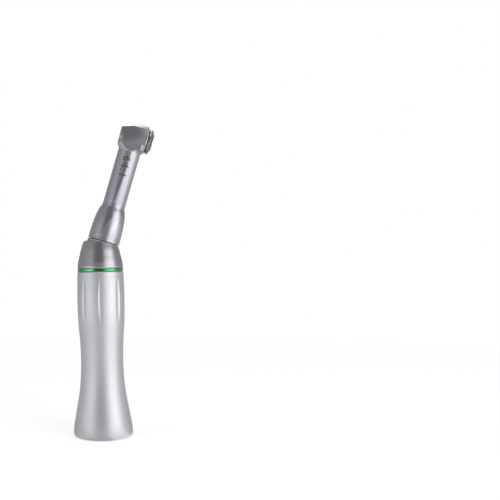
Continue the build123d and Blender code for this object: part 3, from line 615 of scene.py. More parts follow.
@dataclass(frozen=True)
class Coating:
    """An enamel, rubber or etched finish over the metal."""

    name: str
    colour: Triple
    dull_colour: Triple
    roughness: float
    coat: float = 0.0
    metallic: float = 0.0
    grain_depth: float = 4e-7
    coat_roughness: float = 0.06
    cloud_size: float = 420
    roughness_share: Point = (0.85, 1.15)

    def build(self) -> bpy.types.Material:
        """Builds the material.

        Returns:
            The finished material, reading Object coordinates.
        """
        material, wires = new_material(self.name)
        wires.feed(wires.tree.nodes["Principled BSDF"], {
            "Metallic": self.metallic, "Coat Weight": self.coat, "Coat Roughness": self.coat_roughness})
        place = wires.node("TexCoord").outputs["Object"]
        mask = wires.group("clouds", place, {"Size": self.cloud_size}).outputs["Mask"]
        grain = wires.group("grain", place, {"Depth": self.grain_depth})
        low, high = self.roughness_share
        roughness = wires.spread(mask, 0, 1, self.roughness * low, self.roughness * high)
        wires.dress((self.colour, self.dull_colour), mask, roughness, grain.outputs["Height"])
        return material


class Finish(Enum):
    """Every finish of the handpiece."""

    SATIN = Metal("satin_grip", (0.81, 0.817, 0.86), (0.78, 0.787, 0.825), 0.36, 0.04, metallic=0.90,
                  rings_per_metre=5200, ring_depth=4e-7, grain_depth=5e-7, cloud_size=90)
    BASE = Metal("satin_base_ring", (0.62, 0.62, 0.63), (0.55, 0.55, 0.56), 0.3, 0.06,
                 rings_per_metre=7000, ring_depth=8e-7, grain_depth=3e-7)
    SHOULDER = Metal("polished_shoulder", (0.65, 0.625, 0.665), (0.61, 0.585, 0.625), 0.17, 0.03,
                     ring_depth=2e-7)
    NECK = Metal("polished_neck", (0.67, 0.665, 0.74), (0.64, 0.63, 0.70), 0.14, 0.03,
                 rings_per_metre=8000, ring_depth=2e-7, axis=Axis.NECK)
    # A lighter, slightly rougher copy of the neck's steel for the head's band: the lightness is painted light, the
    # roughness is the finish's own.
    BROW = Metal("head_steel_painted_light", (0.71, 0.685, 0.75), (0.68, 0.655, 0.72), 0.19, 0.03,
                 rings_per_metre=8000, ring_depth=2e-7, axis=Axis.NECK)
    HEAD = Metal("polished_cap", (0.52, 0.52, 0.54), (0.47, 0.47, 0.49), 0.16, 0.04,
                 rings_per_metre=8000, ring_depth=2e-7, cloud_size=220, axis=Axis.HEAD)
    # The button's steel, darkened as painted shade; it also paints the cap's bevel dark as shade.
    BUTTON = Metal("button_steel_painted_shade", (0.34, 0.33, 0.36), (0.28, 0.27, 0.30), 0.18, 0.05,
                   rings_per_metre=14000, ring_depth=6e-7, cloud_size=300, axis=Axis.HEAD)
    TURNED = Metal("lathe_steel", (0.56, 0.57, 0.59), (0.48, 0.49, 0.51), 0.28, 0.08,
                   rings_per_metre=6500, ring_depth=1.6e-6)
    GEARS = Metal("ground_gear_steel", (0.44, 0.45, 0.47), (0.36, 0.37, 0.39), 0.32, 0.10,
                  rings_per_metre=12000, ring_depth=1.0e-6, grain_depth=8e-7, cloud_size=300)
    BEARINGS = Metal("raceway_steel", (0.68, 0.69, 0.72), (0.62, 0.63, 0.66), 0.10, 0.03,
                     rings_per_metre=12000, ring_depth=3e-7, cloud_size=300)
    BRONZE = Metal("bearing_bronze", (0.62, 0.40, 0.19), (0.50, 0.31, 0.14), 0.32, 0.10,
                   ring_depth=1.2e-6, grain_depth=4e-7, cloud_size=260)
    SPRING = Metal("drawn_spring_wire", (0.50, 0.51, 0.53), (0.42, 0.43, 0.45), 0.25, 0.08,
                   rings_per_metre=20000)
    # Near-black steel painted into gaps as their shade.
    OXIDE = Metal("painted_gap_shade", (0.030, 0.029, 0.033), (0.020, 0.020, 0.022), 0.50, 0.10,
                  ring_depth=1e-6)
    ENAMEL = Coating("green_lacquer", (0.12, 0.47, 0.20), (0.10, 0.42, 0.17), 0.07, coat=1.0, metallic=1.0)
    RUBBER = Coating("moulded_rubber", (0.018, 0.018, 0.019), (0.030, 0.030, 0.031), 0.62, grain_depth=2e-6)
    ETCHED = Coating("etched_mark", (0.028, 0.028, 0.032), (0.045, 0.045, 0.05), 0.55, grain_depth=1e-6)

    def material(self) -> bpy.types.Material:
        """Gives this finish's material, building it on first use."""
        return bpy.data.materials.get(self.value.name) or self.value.build()


def hand_over(obj: bpy.types.Object, finish: Finish, body: str,
              nodes: tuple[str, ...] = ()) -> None:
    """Dresses a finished piece and puts it on its body.

    Args:
        obj: the piece, with its place in its mesh.
        finish: what it is made of.
        body: the CAD body that it moves with.
        nodes: the CAD nodes that it stands for.
    """
    obj.data.materials.clear()
    obj.data.materials.append(finish.material())
    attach(obj, body)
    if nodes:
        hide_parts(*nodes)
    LOG.info("%s: %d faces, on %s", obj.name, len(obj.data.polygons), body)


def paint(obj: bpy.types.Object, finish: Finish, axis: Axis, reach: Point, span: Point) -> None:
    """Gives a second finish to the faces within a band about an axis.

    Args:
        obj: the dressed piece.
        finish: the second finish.
        axis: the line that the band runs about.
        reach: the least and the most distance from the line, in millimetres.
        span: the lowest and the highest place along the line.
    """
    obj.data.materials.append(finish.material())
    undo = axis.place().inverted()
    last = len(obj.data.materials) - 1
    for face in obj.data.polygons:
        at = undo @ face.center / MM
        if reach[0] < at.xy.length < reach[1] and span[0] < at.z < span[1]:
            face.material_index = last


# ---------------------------------------------------------------- grip
@dataclass
class Grip:
    """The satin outer shell with its flutes, and the parts seen in its open base."""

    height: float = 57.5
    top_r: float = 8.07
    belly: Point = (8.30, 47.0)
    waist: Point = (7.40, 25.5)
    rim: Point = (10.32, 1.7)
    base_round: float = 1.2
    bore_r: float = 6.75
    base_bore_r: float = 8.40
    flange_z: float = 4.4
    flare_bore: Point = (7.9, 6.0)
    flare_top_z: float = 13.0
    top_chamfer: float = 0.35
    rise: tuple[Point, ...] = ((0.25, 0.372), (0.76, 0.651))  # shares of the way from waist to belly
    flare: tuple[Point, ...] = ((0.19, 0.37), (0.69, 0.735), (0.973, 0.945))  # from waist to rim
    line_z: float = 55.6
    line_groove: Point = (0.14, 0.05)
    line_room: float = 0.1
    flutes: int = 8
    flute_length: float = 15.8
    flute_width: float = 2.2
    flute_depth: float = 0.26
    flute_gap: float = 2.95  # from the ring down to the flute's point
    flute_runout: float = 2.0  # how far the cutter runs on past each point
    lock_span: Point = (0.3, 3.1)
    lock_bore_r: float = 6.5
    lock_break: float = 0.12
    pin_holes: int = 4
    pin_r: float = 0.5
    pin_depth: float = 2.4
    coupling_bore_r: float = 6.0
    coupling_top: float = 20.0
    coupling_lead: float = 0.3
    coupling_break: float = 0.05
    detent_span: Point = (8.0, 9.2)
    detent_r: float = 6.25
    detent_slope: float = 0.15

    def side(self) -> Outline:
        """Gives the shell's outer curve.

        Returns:
            Its points, from the rim up to the ring.
        """
        up = [self.rim, *reversed(between(self.waist, self.rim, self.flare)), self.waist,
              *between(self.waist, self.belly, self.rise), self.belly,
              (self.top_r, self.height - self.top_chamfer)]
        return flowing(up, 9)

    def outline(self) -> Outline:
        """Gives the shell's whole outline.

        Returns:
            Its points, up the outside and down the inside.
        """
        curve = self.side()
        line_r = radius_at(curve, self.line_z)
        below = [p for p in curve if p[1] < self.line_z - self.line_room]
        above = [p for p in curve if p[1] > self.line_z + self.line_room]
        base = arc((self.rim[0] - self.base_round, self.base_round), self.base_round, -90, 0)
        inside = [(self.top_r - self.top_chamfer, self.height), (self.bore_r, self.height),
                  (self.bore_r, self.flare_top_z), self.flare_bore, (self.flare_bore[0], self.flange_z),
                  (self.base_bore_r, self.flange_z), (self.base_bore_r, 0)]
        return [*base, *below, *notch(line_r, self.line_z, *self.line_groove), *above, *inside]

    def flute_cutter(self) -> bpy.types.Object:
        """Sweeps the round-bottomed cutter of one flute along its shallow arc.

        Returns:
            The closed cutter, in its place towards +X.
        """
        section_r = self.flute_width**2 / (8 * self.flute_depth) + self.flute_depth / 2
        curve, half = self.side(), self.flute_length / 2
        middle = self.height - self.flute_gap - half
        bottom = radius_at(curve, middle) - self.flute_depth
        ends = (radius_at(curve, middle - half) + radius_at(curve, middle + half)) / 2
        sweep_r = half**2 / (2 * (ends - bottom)) + (ends - bottom) / 2
        centre = Vector((bottom + sweep_r, 0, middle)) * MM
        reach = (self.flute_length / 2 + self.flute_runout) / sweep_r
        deselect()
        bpy.ops.mesh.primitive_circle_add(vertices=96, radius=section_r * MM, location=(0, 0, 0))
        cutter = bpy.context.object
        turn = Matrix.Rotation(reach, 4, "Y")
        cutter.matrix_world = Matrix.Translation(centre) @ turn @ Matrix.Translation(
            Vector(((section_r - sweep_r) * MM, 0, 0)))
        settle()
        edit_all()
        bpy.ops.mesh.spin(steps=40, angle=2 * reach, center=centre, axis=(0, 1, 0))
        pick_edges(cutter, lambda e: e.is_boundary)
        bpy.ops.mesh.fill_holes(sides=96)
        face_outwards()
        leave_edit()
        return cutter

    def make_sheath(self) -> None:
        """Turns the shell and mills its flutes."""
        shell = turned("satin_sheath", self.outline(), Axis.GRIP, 256)
        combine(shell, copies_around(self.flute_cutter(), self.flutes), Joining.TAKE)
        shade(shell, 12)
        hand_over(shell, Finish.SATIN, "housing", ("grip_sheath",))

    def make_lock_ring(self) -> None:
        """Turns the lock ring and drills its pin holes."""
        (low, high), bore, outer = self.lock_span, self.lock_bore_r, self.base_bore_r - FIT
        ring = turned("lock_ring", [(bore, low), (outer, low), (outer, high), (bore, high)], Axis.GRIP, 128)
        deselect()
        bpy.ops.mesh.primitive_cylinder_add(
            vertices=32, radius=self.pin_r * MM, depth=self.pin_depth * MM,
            location=((bore + self.base_bore_r) / 2 * MM, 0, low * MM))
        pin = bpy.context.object
        settle()
        combine(ring, copies_around(pin, self.pin_holes), Joining.TAKE)
        soften(ring, self.lock_break)
        shade(ring)
        hand_over(ring, Finish.BASE, "housing", ("rear_lock_ring",))

    def make_coupling(self) -> None:
        """Turns the coupling sleeve with its detent groove."""
        low, top, bore, lead = self.lock_span[1], self.coupling_top, self.coupling_bore_r, self.coupling_lead
        outer, case_r = self.base_bore_r - FIT, self.bore_r - FIT
        (detent_low, detent_high), slope = self.detent_span, self.detent_slope
        sleeve = turned("motor_coupling", [
            (bore + lead, low), (outer, low), (outer, self.flange_z), (case_r, self.flange_z),
            (case_r, top), (bore, top), (bore, detent_high), (self.detent_r, detent_high - slope),
            (self.detent_r, detent_low + slope), (bore, detent_low), (bore, low + lead)], Axis.GRIP, 128)
        soften(sleeve, self.coupling_break)
        shade(sleeve)
        hand_over(sleeve, Finish.TURNED, "housing", ("coupling_sleeve",))

    def build(self) -> None:
        """Makes the whole grip."""
        self.make_sheath()
        self.make_lock_ring()
        self.make_coupling()


# ---------------------------------------------------------------- ring and shoulder
@dataclass
class Shoulder:
    """The colour ring and the domed shoulder with its angled stub."""

    ring_low: float = 57.5
    ring_high: float = 58.6
    ring_r: float = 8.02
    ring_bore_r: float = 6.75
    ring_foot: tuple[Point, ...] = ((0.12, 0), (0.03, 0.05), (0, 0.14))  # depth in, height up
    # Depth in and height down: the fine groove, the upper land and its broken edge.
    ring_head: tuple[Point, ...] = ((0, 0.40), (0.14, 0.36), (0.14, 0.24), (0, 0.20), (0, 0.1), (0.1, 0))
    foot_r: float = 8.0
    top: Point = (5.5, 68.3)
    dome: tuple[Point, ...] = ((0.10, 0.229), (0.30, 0.448), (0.52, 0.6875), (0.69, 0.82), (0.86, 0.94))
    stub_r: float = 5.6
    stub_top: float = 4.18
    thread_r: float = 4.58
    thread_top: float = 9.31
    cavity_r: float = 3.4
    neck_seat: float = 5.0
    neck_hole_r: float = 3.97
    spigot_r: float = 6.70
    spigot_low: float = 54.0
    bend_z: float = 63.8
    chamfer: tuple[Point, ...] = ((0.3, 0), (0.1, 0.12))  # depth in, height up
    dome_start: float = 0.3
    seam: float = 0.03
    spigot_lap: float = 0.5
    stub_low: float = -1.0
    stub_break: float = 0.12
    cavity_low: float = -2.0
    root_room: float = 0.1

    def make_ring(self) -> None:
        """Turns the colour ring with the fine groove under its upper edge."""
        r, low, high = self.ring_r, self.ring_low, self.ring_high
        ring = turned("colour_ring", [
            (self.ring_bore_r, low), *((r - depth, low + rise) for depth, rise in self.ring_foot),
            *((r - depth, high - drop) for depth, drop in self.ring_head),
            (self.ring_bore_r, high)], Axis.GRIP)
        shade(ring, 12)
        hand_over(ring, Finish.ENAMEL, "housing", ("green_ring",))

    def make_housing(self) -> None:
        """Turns the dome, cuts it square to the neck, adds stub, thread and spigot, and bores it."""
        foot = (self.foot_r, self.ring_high)
        curve = flowing([foot, *between(foot, self.top, self.dome), self.top], 9)
        chamfer = [(self.foot_r - depth, self.ring_high + rise) for depth, rise in self.chamfer]
        start = [p for p in curve if p[1] > self.ring_high + self.dome_start]
        dome = turned("domed_shoulder", [(0, self.ring_high), *chamfer, *start, (0, self.top[1])],
                      Axis.GRIP, 256)
        neck = Axis.NECK.place()
        up = neck.to_3x3() @ Vector((0, 0, 1))
        cut_off(dome, neck @ Vector((0, 0, (self.stub_top - self.seam) * MM)), up)
        stub = turned("stub", [
            (0, self.stub_low), (self.stub_r, self.stub_low), (self.stub_r, self.stub_top - self.stub_break),
            (self.stub_r - self.stub_break, self.stub_top), (self.thread_r, self.stub_top),
            (self.thread_r, self.thread_top), (0, self.thread_top)], Axis.NECK)
        combine(dome, stub, Joining.ADD)
        spigot_top = self.ring_high + self.spigot_lap
        spigot = turned("spigot", [(0, self.spigot_low), (self.spigot_r, self.spigot_low),
                                   (self.spigot_r, spigot_top), (0, spigot_top)], Axis.GRIP, 128)
        combine(dome, spigot, Joining.ADD)
        below = self.spigot_low - OVERRUN
        lower = turned("lower_bore", [
            (0, below), (self.cavity_r, below), *arc((0, self.bend_z), self.cavity_r, 0, 84, 12),
            (0, self.bend_z + self.cavity_r)], Axis.GRIP, 96)
        combine(dome, lower, Joining.TAKE)
        above = self.thread_top + OVERRUN
        upper = turned("upper_bore", [
            (0, self.cavity_low), (self.cavity_r, self.cavity_low), (self.cavity_r, self.neck_seat),
            (self.neck_hole_r, self.neck_seat), (self.neck_hole_r, above), (0, above)], Axis.NECK, 96)
        combine(dome, upper, Joining.TAKE)
        shade(dome, 28)
        hand_over(dome, Finish.SHOULDER, "housing", ("bend_housing",))
        # The thread's faces that show in the joint gap get the near-black painted gap shade.
        room = self.root_room
        paint(dome, Finish.OXIDE, Axis.NECK, (self.thread_r - room, self.thread_r + room),
              (self.stub_top - room, self.thread_top + room))

    def build(self) -> None:
        """Makes the ring and the shoulder."""
        self.make_ring()
        self.make_housing()


# ---------------------------------------------------------------- neck and head
@dataclass
class NeckSleeve:
    """The ogive union sleeve over the foot of the neck."""

    foot: Point = (5.58, 4.38)
    lip: Point = (4.12, 16.9)
    bore_r: float = 3.97
    thread_bore: Point = (4.6, 9.36)
    edge: float = 0.2
    ogive: tuple[Point, ...] = ((0.027, 0.25), (0.096, 0.441), (0.315, 0.7), (0.575, 0.857))
    groove_heights: tuple[float, ...] = (1.1, 1.7)
    groove: Point = (0.15, 0.03)
    groove_room: float = 0.1
    lip_break: float = 0.06

    def build(self) -> None:
        """Turns the sleeve with the two fine grooves above its foot."""
        start, end = (self.foot[0], self.foot[1] + self.edge), (self.lip[0], self.lip[1] - self.edge)
        curve = flowing([start, *between(start, end, self.ogive), end], 9)
        outer: Outline = [(self.foot[0] - self.edge, self.foot[1])]
        for height in (self.foot[1] + g for g in self.groove_heights):
            outer += [p for p in curve if outer[-1][1] < p[1] < height - self.groove_room]
            outer += notch(radius_at(curve, height), height, *self.groove)
        outer += [p for p in curve if p[1] > outer[-1][1]]
        lip_r, lip_z = self.lip
        inside = [(lip_r, lip_z - self.lip_break), (lip_r - self.lip_break, lip_z), (self.bore_r, lip_z),
                  (self.bore_r, self.thread_bore[1]), self.thread_bore, (self.thread_bore[0], self.foot[1])]
        sleeve = turned("ogive_sleeve", outer + inside, Axis.NECK)
        shade(sleeve, 25)
        hand_over(sleeve, Finish.NECK, "housing", ("neck_sleeve",))


@dataclass
class Head:
    """The neck tube and the head in one piece, the ratio mark, the cap ring, the button and its spring."""

    crossing_t: float = 42.25
    neck_r: float = 3.95
    neck_low: float = 5.0
    neck_bore_r: float = 3.0
    barrel_r: float = 4.5
    nose_r: float = 3.42
    nose_u: float = -4.87
    taper_u: float = -1.2
    flat_end_u: float = 4.4
    end_u: float = 5.0
    edge: float = 0.2
    flat: float = 4.0
    block_low: float = -1.0
    block_round: float = 1.8
    block_lap: Point = (0.05, 0.02)  # past the flats, short of the nose
    slope: tuple[Point, Point] = ((-1.2, 4.56), (-4.87, 3.40))  # along the bur's axis, up the neck
    corner_cut: Triple = (-0.534, -0.598, 0.598)  # along the bur's axis, up the neck, aside
    corner_reach: float = 6.2  # from the crossing to the cut
    flare_r: float = 5.4
    flare_top: float = 4.15  # under the crossing
    flare_low: float = 5.35  # under the crossing
    flare_sag: Point = (0.12, 0.22)
    flare_lap: Point = (0.03, 0.04)
    flare_inset: float = 0.03
    facet_angle: float = 32
    facet_drop: float = 4.75  # from the crossing down to the nose's lower corner
    facet_depth: float = 1.0
    bores: Outline = field(default_factory=lambda: [
        (0, -6.0), (2.0, -6.0), (2.0, -4.43), (3.175, -4.43), (3.175, -2.05), (3.5, -2.05), (3.5, 4.4),
        (3.8, 4.4), (3.8, 6.0), (0, 6.0)])
    edge_break: float = 0.12
    sharp_angle: float = 20
    bore_stop: float = 1.0  # from the crossing down to the neck bore's end
    bore_reach: float = 3.3  # edges nearer to the bur's axis stay sharp
    head_reach: float = 5.7  # edges further under the crossing stay sharp
    # The band of the head that gets the lighter steel, as painted light.
    lit_head_reach: float = 9.0
    lit_head_span: Point = (0.5, 6.0)  # above the flare's foot, above the crossing
    lines_t: tuple[float, ...] = (17.4, 18.0)
    line_groove: Point = (0.16, 0.022)
    ratio: str = "64:1"
    ratio_t: float = 31.1
    ratio_turn: float = -4.5
    ratio_size: float = 4.0
    ratio_spacing: float = 1.16
    ratio_block: float = 2.0  # how deep the digits are before they are cut to the skin
    ratio_reach: float = 1.6  # the skin's half height, times the digits' size
    ratio_skin: Point = (0.02, 0.006)  # into the neck, out of it
    spring_r: float = 2.1
    spring_wire: float = 0.14
    spring_span: Point = (4.86, 6.24)
    spring_half_turns: int = 7
    spring_foot: float = 4.7
    spring_keep: float = 0.68
    cap: Outline = field(default_factory=lambda: [
        (1.6, 4.45), (3.78, 4.45), (3.78, 5.0), (3.88, 5.0), (3.88, 5.26), (4.18, 5.26), (4.28, 5.36),
        (4.28, 6.1), (3.3, 6.5), (2.95, 6.5), (2.95, 6.3), (3.15, 6.3), (3.15, 4.7), (1.6, 4.7)])
    cap_break: float = 0.06
    cap_groove: tuple[Point, Point] = ((3.7, 3.95), (4.9, 5.3))  # reach and span of the groove's painted shade
    cap_crown: tuple[Point, Point] = ((3.2, 4.27), (6.05, 6.6))  # reach and span of the bevel, painted dark as shade
    button: Outline = field(default_factory=lambda: [
        (0, 4.78), (0.55, 4.78), (0.85, 5.08), (0.85, 6.4), (2.6, 6.4), (2.6, 5.3), (3.1, 5.3), (3.1, 6.25),
        (2.9, 6.25)])
    button_rise: float = 1.85
    # Radius and drop from the rim of the button's dished face.
    button_face: tuple[Point, ...] = ((2.9, 0.2), (2.7, 0), (2.2, 0), (2.0, 0.06), (0.6, 0.12), (0, 0.12))
    button_break: float = 0.05

    def flare_piece(self) -> bpy.types.Object:
        """Turns the concave flare under the barrel and trims it to the head.

        Returns:
            The trimmed flare.
        """
        low, high = self.crossing_t - self.flare_low, self.crossing_t - self.flare_top
        middle = ((self.neck_r + self.flare_r) / 2 - self.flare_sag[0], (low + high) / 2 + self.flare_sag[1])
        start = (self.neck_r - self.flare_lap[0], low - self.flare_lap[1])
        side = flowing([start, middle, (self.flare_r, high)], 8)
        flare = turned("flare", [(0, start[1]), *side, (self.flare_r, self.crossing_t), (0, self.crossing_t)],
                       Axis.NECK)
        head, neck = Axis.HEAD.place(), Axis.NECK.place()
        along = head.to_3x3() @ Vector((0, 0, 1))
        cut_off(flare, head @ Vector((0, 0, (self.end_u - self.edge / 2) * MM)), along)
        cut_off(flare, head @ Vector((0, 0, (self.nose_u + self.flare_inset) * MM)), -along)
        angle = math.radians(self.facet_angle)
        inward = Vector((math.cos(angle), 0, math.sin(angle)))
        corner = Vector((self.nose_u, 0, self.crossing_t - self.facet_drop)) + inward * self.facet_depth
        cut_off(flare, neck @ (corner * MM), neck.to_3x3() @ -inward)
        return flare

    def upper_block(self) -> bpy.types.Object:
        """Makes the squarer upper half of the head, with its sloping nose and rounded upper edges.

        Returns:
            The block, which the barrel takes in.
        """
        half, start, end = self.flat + self.block_lap[0], self.nose_u + self.block_lap[1], self.flat_end_u
        (kink_u, kink_t), (tip_u, tip_t) = self.slope
        head = Axis.HEAD.place()
        turn = head.to_3x3()
        deselect()
        bpy.ops.mesh.primitive_cube_add(size=1, location=(0, 0, 0))
        block = bpy.context.object
        middle = Vector((-(kink_t + self.block_low) / 2, 0, (start + end) / 2)) * MM
        block.matrix_world = head @ Matrix.Translation(middle) @ Matrix.Diagonal(
            ((kink_t - self.block_low) * MM, 2 * half * MM, (end - start) * MM, 1))
        settle()
        out = Vector((-(kink_u - tip_u), 0, -(kink_t - tip_t)))
        cut_off(block, head @ (Vector((-kink_t, 0, kink_u)) * MM), turn @ out)

        def upper_edge(edge: bmesh.types.BMEdge) -> bool:
            """Takes the edges between a flat side and the top."""
            normals = [turn.transposed() @ face.normal for face in edge.link_faces]
            return any(abs(n.y) > 0.9 for n in normals) and any(n.x < -0.5 for n in normals)

        mark_edges(block, upper_edge)
        soften(block, self.block_round, segments=8, weighted=True)
        return block

    def flat_slab(self, side_y: int) -> bpy.types.Object:
        """Makes the block that mills one flat of the head, up to the full round collar.

        Args:
            side_y: 1 for the back flat, -1 for the front one.

        Returns:
            The block.
        """
        reach = 4 * self.barrel_r
        deselect()
        bpy.ops.mesh.primitive_cube_add(size=reach * MM, location=(0, 0, 0))
        slab = bpy.context.object
        slab.matrix_world = Axis.HEAD.place() @ Matrix.Translation(
            Vector((0, side_y * (self.flat + reach / 2), self.flat_end_u - reach / 2)) * MM)
        settle()
        return slab

    def make_housing(self) -> None:
        """Builds barrel, flare and neck, mills the flats, breaks the edges and bores the head."""
        barrel = turned("head_and_neck", [
            (0, self.nose_u), (self.nose_r - self.edge, self.nose_u), (self.nose_r, self.nose_u + self.edge),
            (self.barrel_r, self.taper_u), (self.barrel_r, self.end_u - self.edge),
            (self.barrel_r - self.edge, self.end_u), (0, self.end_u)], Axis.HEAD)
        combine(barrel, self.flare_piece(), Joining.ADD)
        combine(barrel, self.upper_block(), Joining.ADD)
        for side_y in (1, -1):
            combine(barrel, self.flat_slab(side_y), Joining.TAKE)
        head = Axis.HEAD.place()
        for side_y in (1, -1):
            along, up, aside = self.corner_cut
            out = Vector((-up, side_y * aside, along)).normalized()
            cut_off(barrel, head @ (out * self.corner_reach * MM), head.to_3x3() @ out)
        neck_side = [(self.neck_r, self.neck_low)]
        for t in self.lines_t:
            neck_side += notch(self.neck_r, t, *self.line_groove)
        neck_top, bore_top = self.crossing_t - self.barrel_r / 2, self.crossing_t - self.bore_stop
        neck = turned("neck", [(0, self.neck_low), *neck_side, (self.neck_r, neck_top), (0, neck_top)],
                      Axis.NECK)
        combine(barrel, neck, Joining.ADD)
        combine(barrel, turned("bores", self.bores, Axis.HEAD, 96), Joining.TAKE)
        below = self.neck_low - OVERRUN
        bore = turned("neck_bore", [(0, below), (self.neck_bore_r, below), (self.neck_bore_r, bore_top),
                                    (0, bore_top)], Axis.NECK, 96)
        combine(barrel, bore, Joining.TAKE)
        tidy_mesh(barrel, 1e-5)
        to_head, to_neck = head.inverted(), Axis.NECK.place().inverted()

        def outer_edge(edge: bmesh.types.BMEdge) -> bool:
            """Takes the sharp edges of the head's outside.

            Args:
                edge: the edge.

            Returns:
                Whether it is taken.
            """
            middle = (edge.verts[0].co + edge.verts[1].co) / 2
            clear = (to_head @ middle).xy.length > self.bore_reach * MM
            above = (to_neck @ middle).z > (self.crossing_t - self.head_reach) * MM
            return clear and above and edge.calc_face_angle(0) > math.radians(self.sharp_angle)

        mark_edges(barrel, outer_edge)
        soften(barrel, self.edge_break, weighted=True)
        shade(barrel, 24)
        hand_over(barrel, Finish.NECK, "housing", ("head_housing",))
        # Paints the head's band lighter than the neck, as painted light.
        over_flare, over_crossing = self.lit_head_span
        paint(barrel, Finish.BROW, Axis.NECK, (0, self.lit_head_reach),
              (self.crossing_t - self.flare_low + over_flare, self.crossing_t + over_crossing))

    def make_ratio(self) -> None:
        """Etches the reduction ratio into the neck, reading away from the head."""
        deselect()
        bpy.ops.object.text_add(location=(0, 0, 0))
        words = bpy.context.object
        words.name = "ratio_mark"
        words.data.body = self.ratio
        words.data.size = self.ratio_size * MM
        words.data.align_x = "CENTER"
        words.data.align_y = "CENTER"
        words.data.extrude = self.ratio_block * MM
        words.data.space_character = self.ratio_spacing
        words.data.resolution_u = 4
        bpy.ops.object.convert(target="MESH")
        words = bpy.context.object
        across = Matrix(((0, 1, 0), (0, 0, -1), (-1, 0, 0))).to_4x4()
        turn = Matrix.Rotation(math.radians(self.ratio_turn), 4, "Z")
        front = Matrix.Translation(Vector((0, -self.neck_r * MM, self.ratio_t * MM)))
        words.matrix_world = Axis.NECK.place() @ turn @ front @ across
        settle()
        edit_all()
        bpy.ops.mesh.remove_doubles(threshold=1e-7)
        bpy.ops.mesh.normals_make_consistent(inside=False)
        leave_edit()
        half = self.ratio_size * self.ratio_reach
        low, high = self.ratio_t - half, self.ratio_t + half
        inner, outer = self.neck_r - self.ratio_skin[0], self.neck_r + self.ratio_skin[1]
        skin = turned("skin", [(inner, low), (outer, low), (outer, high), (inner, high)], Axis.NECK)
        combine(words, skin, Joining.KEEP)
        shade(words, 30)
        hand_over(words, Finish.ETCHED, "housing")

    def make_cap(self) -> None:
        """Turns the cap ring with its plain rim, its groove and its bevelled crown, and paints shade into the
        groove and onto the crown.
        """
        cap = turned("cap_ring", self.cap, Axis.HEAD)
        soften(cap, self.cap_break)
        shade(cap)
        hand_over(cap, Finish.HEAD, "housing", ("head_cap",))
        # Painted shade: the groove near-black, the bevel dark.
        paint(cap, Finish.OXIDE, Axis.HEAD, *self.cap_groove)
        paint(cap, Finish.BUTTON, Axis.HEAD, *self.cap_crown)

    def make_button(self) -> None:
        """Turns the push button with its shallow dished face and its plunger."""
        face = self.end_u + self.button_rise
        button = turned("chuck_button", [*self.button, *((r, face - drop) for r, drop in self.button_face)],
                        Axis.HEAD, 128)
        soften(button, self.button_break)
        shade(button)
        # The button's finish is darkened as painted shade.
        hand_over(button, Finish.BUTTON, "button", ("push_button",))

    def make_spring(self) -> None:
        """Winds the button's spring."""
        low, high = self.spring_span
        deselect()
        bpy.ops.mesh.primitive_circle_add(
            vertices=12, radius=self.spring_wire * MM, rotation=(math.pi / 2, 0, 0),
            location=(self.spring_r * MM, 0, low * MM))
        spring = bpy.context.object
        spring.name = "button_coil"
        settle()
        winding = spring.modifiers.new("winding", "SCREW")
        winding.axis = "Z"
        winding.angle = math.pi
        winding.iterations = self.spring_half_turns
        winding.screw_offset = (high - low) * MM / self.spring_half_turns
        winding.steps = winding.render_steps = 20
        bpy.ops.object.modifier_apply(modifier=winding.name)
        edit_all()
        bpy.ops.mesh.fill_holes(sides=0)
        bpy.ops.mesh.normals_make_consistent(inside=False)
        leave_edit()
        head = Axis.HEAD.place()
        spring.matrix_world = head
        settle()
        shade(spring, 40)
        hand_over(spring, Finish.SPRING, "housing", ("button_spring",))
        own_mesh(spring)

    def build(self) -> None:
        """Makes the neck, the head and what closes it."""
        self.make_housing()
        self.make_ratio()
        self.make_cap()
        self.make_button()
        self.make_spring()


# ---------------------------------------------------------------- pieces kept from the CAD model
@dataclass
class Internals:
    """Every CAD node that stays as it is, with the finish that it gets."""

    by_slot: dict[str, Finish] = field(default_factory=lambda: {
        "satin_steel": Finish.BASE, "polished_steel": Finish.HEAD, "green_enamel": Finish.ENAMEL,
        "turned_steel": Finish.TURNED, "gear_steel": Finish.GEARS, "bearing_steel": Finish.BEARINGS,
        "bronze": Finish.BRONZE, "seal_rubber": Finish.RUBBER, "spring_steel": Finish.SPRING})

    def build(self) -> None:
        """Dresses each node from its record slot."""
        slots = {part["node"]: part["material_slot"] for part in frame["record"]["subparts"]}
        for name, obj in frame["nodes"].items():
            finish = self.by_slot[slots[name]]
            if not obj.material_slots:
                obj.data.materials.append(None)
            for place in obj.material_slots:
                place.material = finish.material()
            LOG.info("%s: %s", name, finish.value.name)


# ---------------------------------------------------------------- studio
@dataclass(frozen=True)
class Lamp:
    """A soft lamp that lights the diffuse surfaces and isn't mirrored."""

    name: str
    place: Triple
    size: float
    power: float

    def build(self, target: Triple) -> None:
        """Hangs the lamp.

        Args:
            target: the point that it faces, in metres.
        """
        data = bpy.data.lights.new(self.name, "AREA")
        data.size = self.size
        data.energy = self.power
        lamp = bpy.data.objects.new(self.name, data)
        bpy.context.scene.collection.objects.link(lamp)
        lamp.location = self.place
        lamp.rotation_euler = (Vector(target) - Vector(self.place)).to_track_quat("-Z", "Y").to_euler()
        lamp.visible_glossy = False


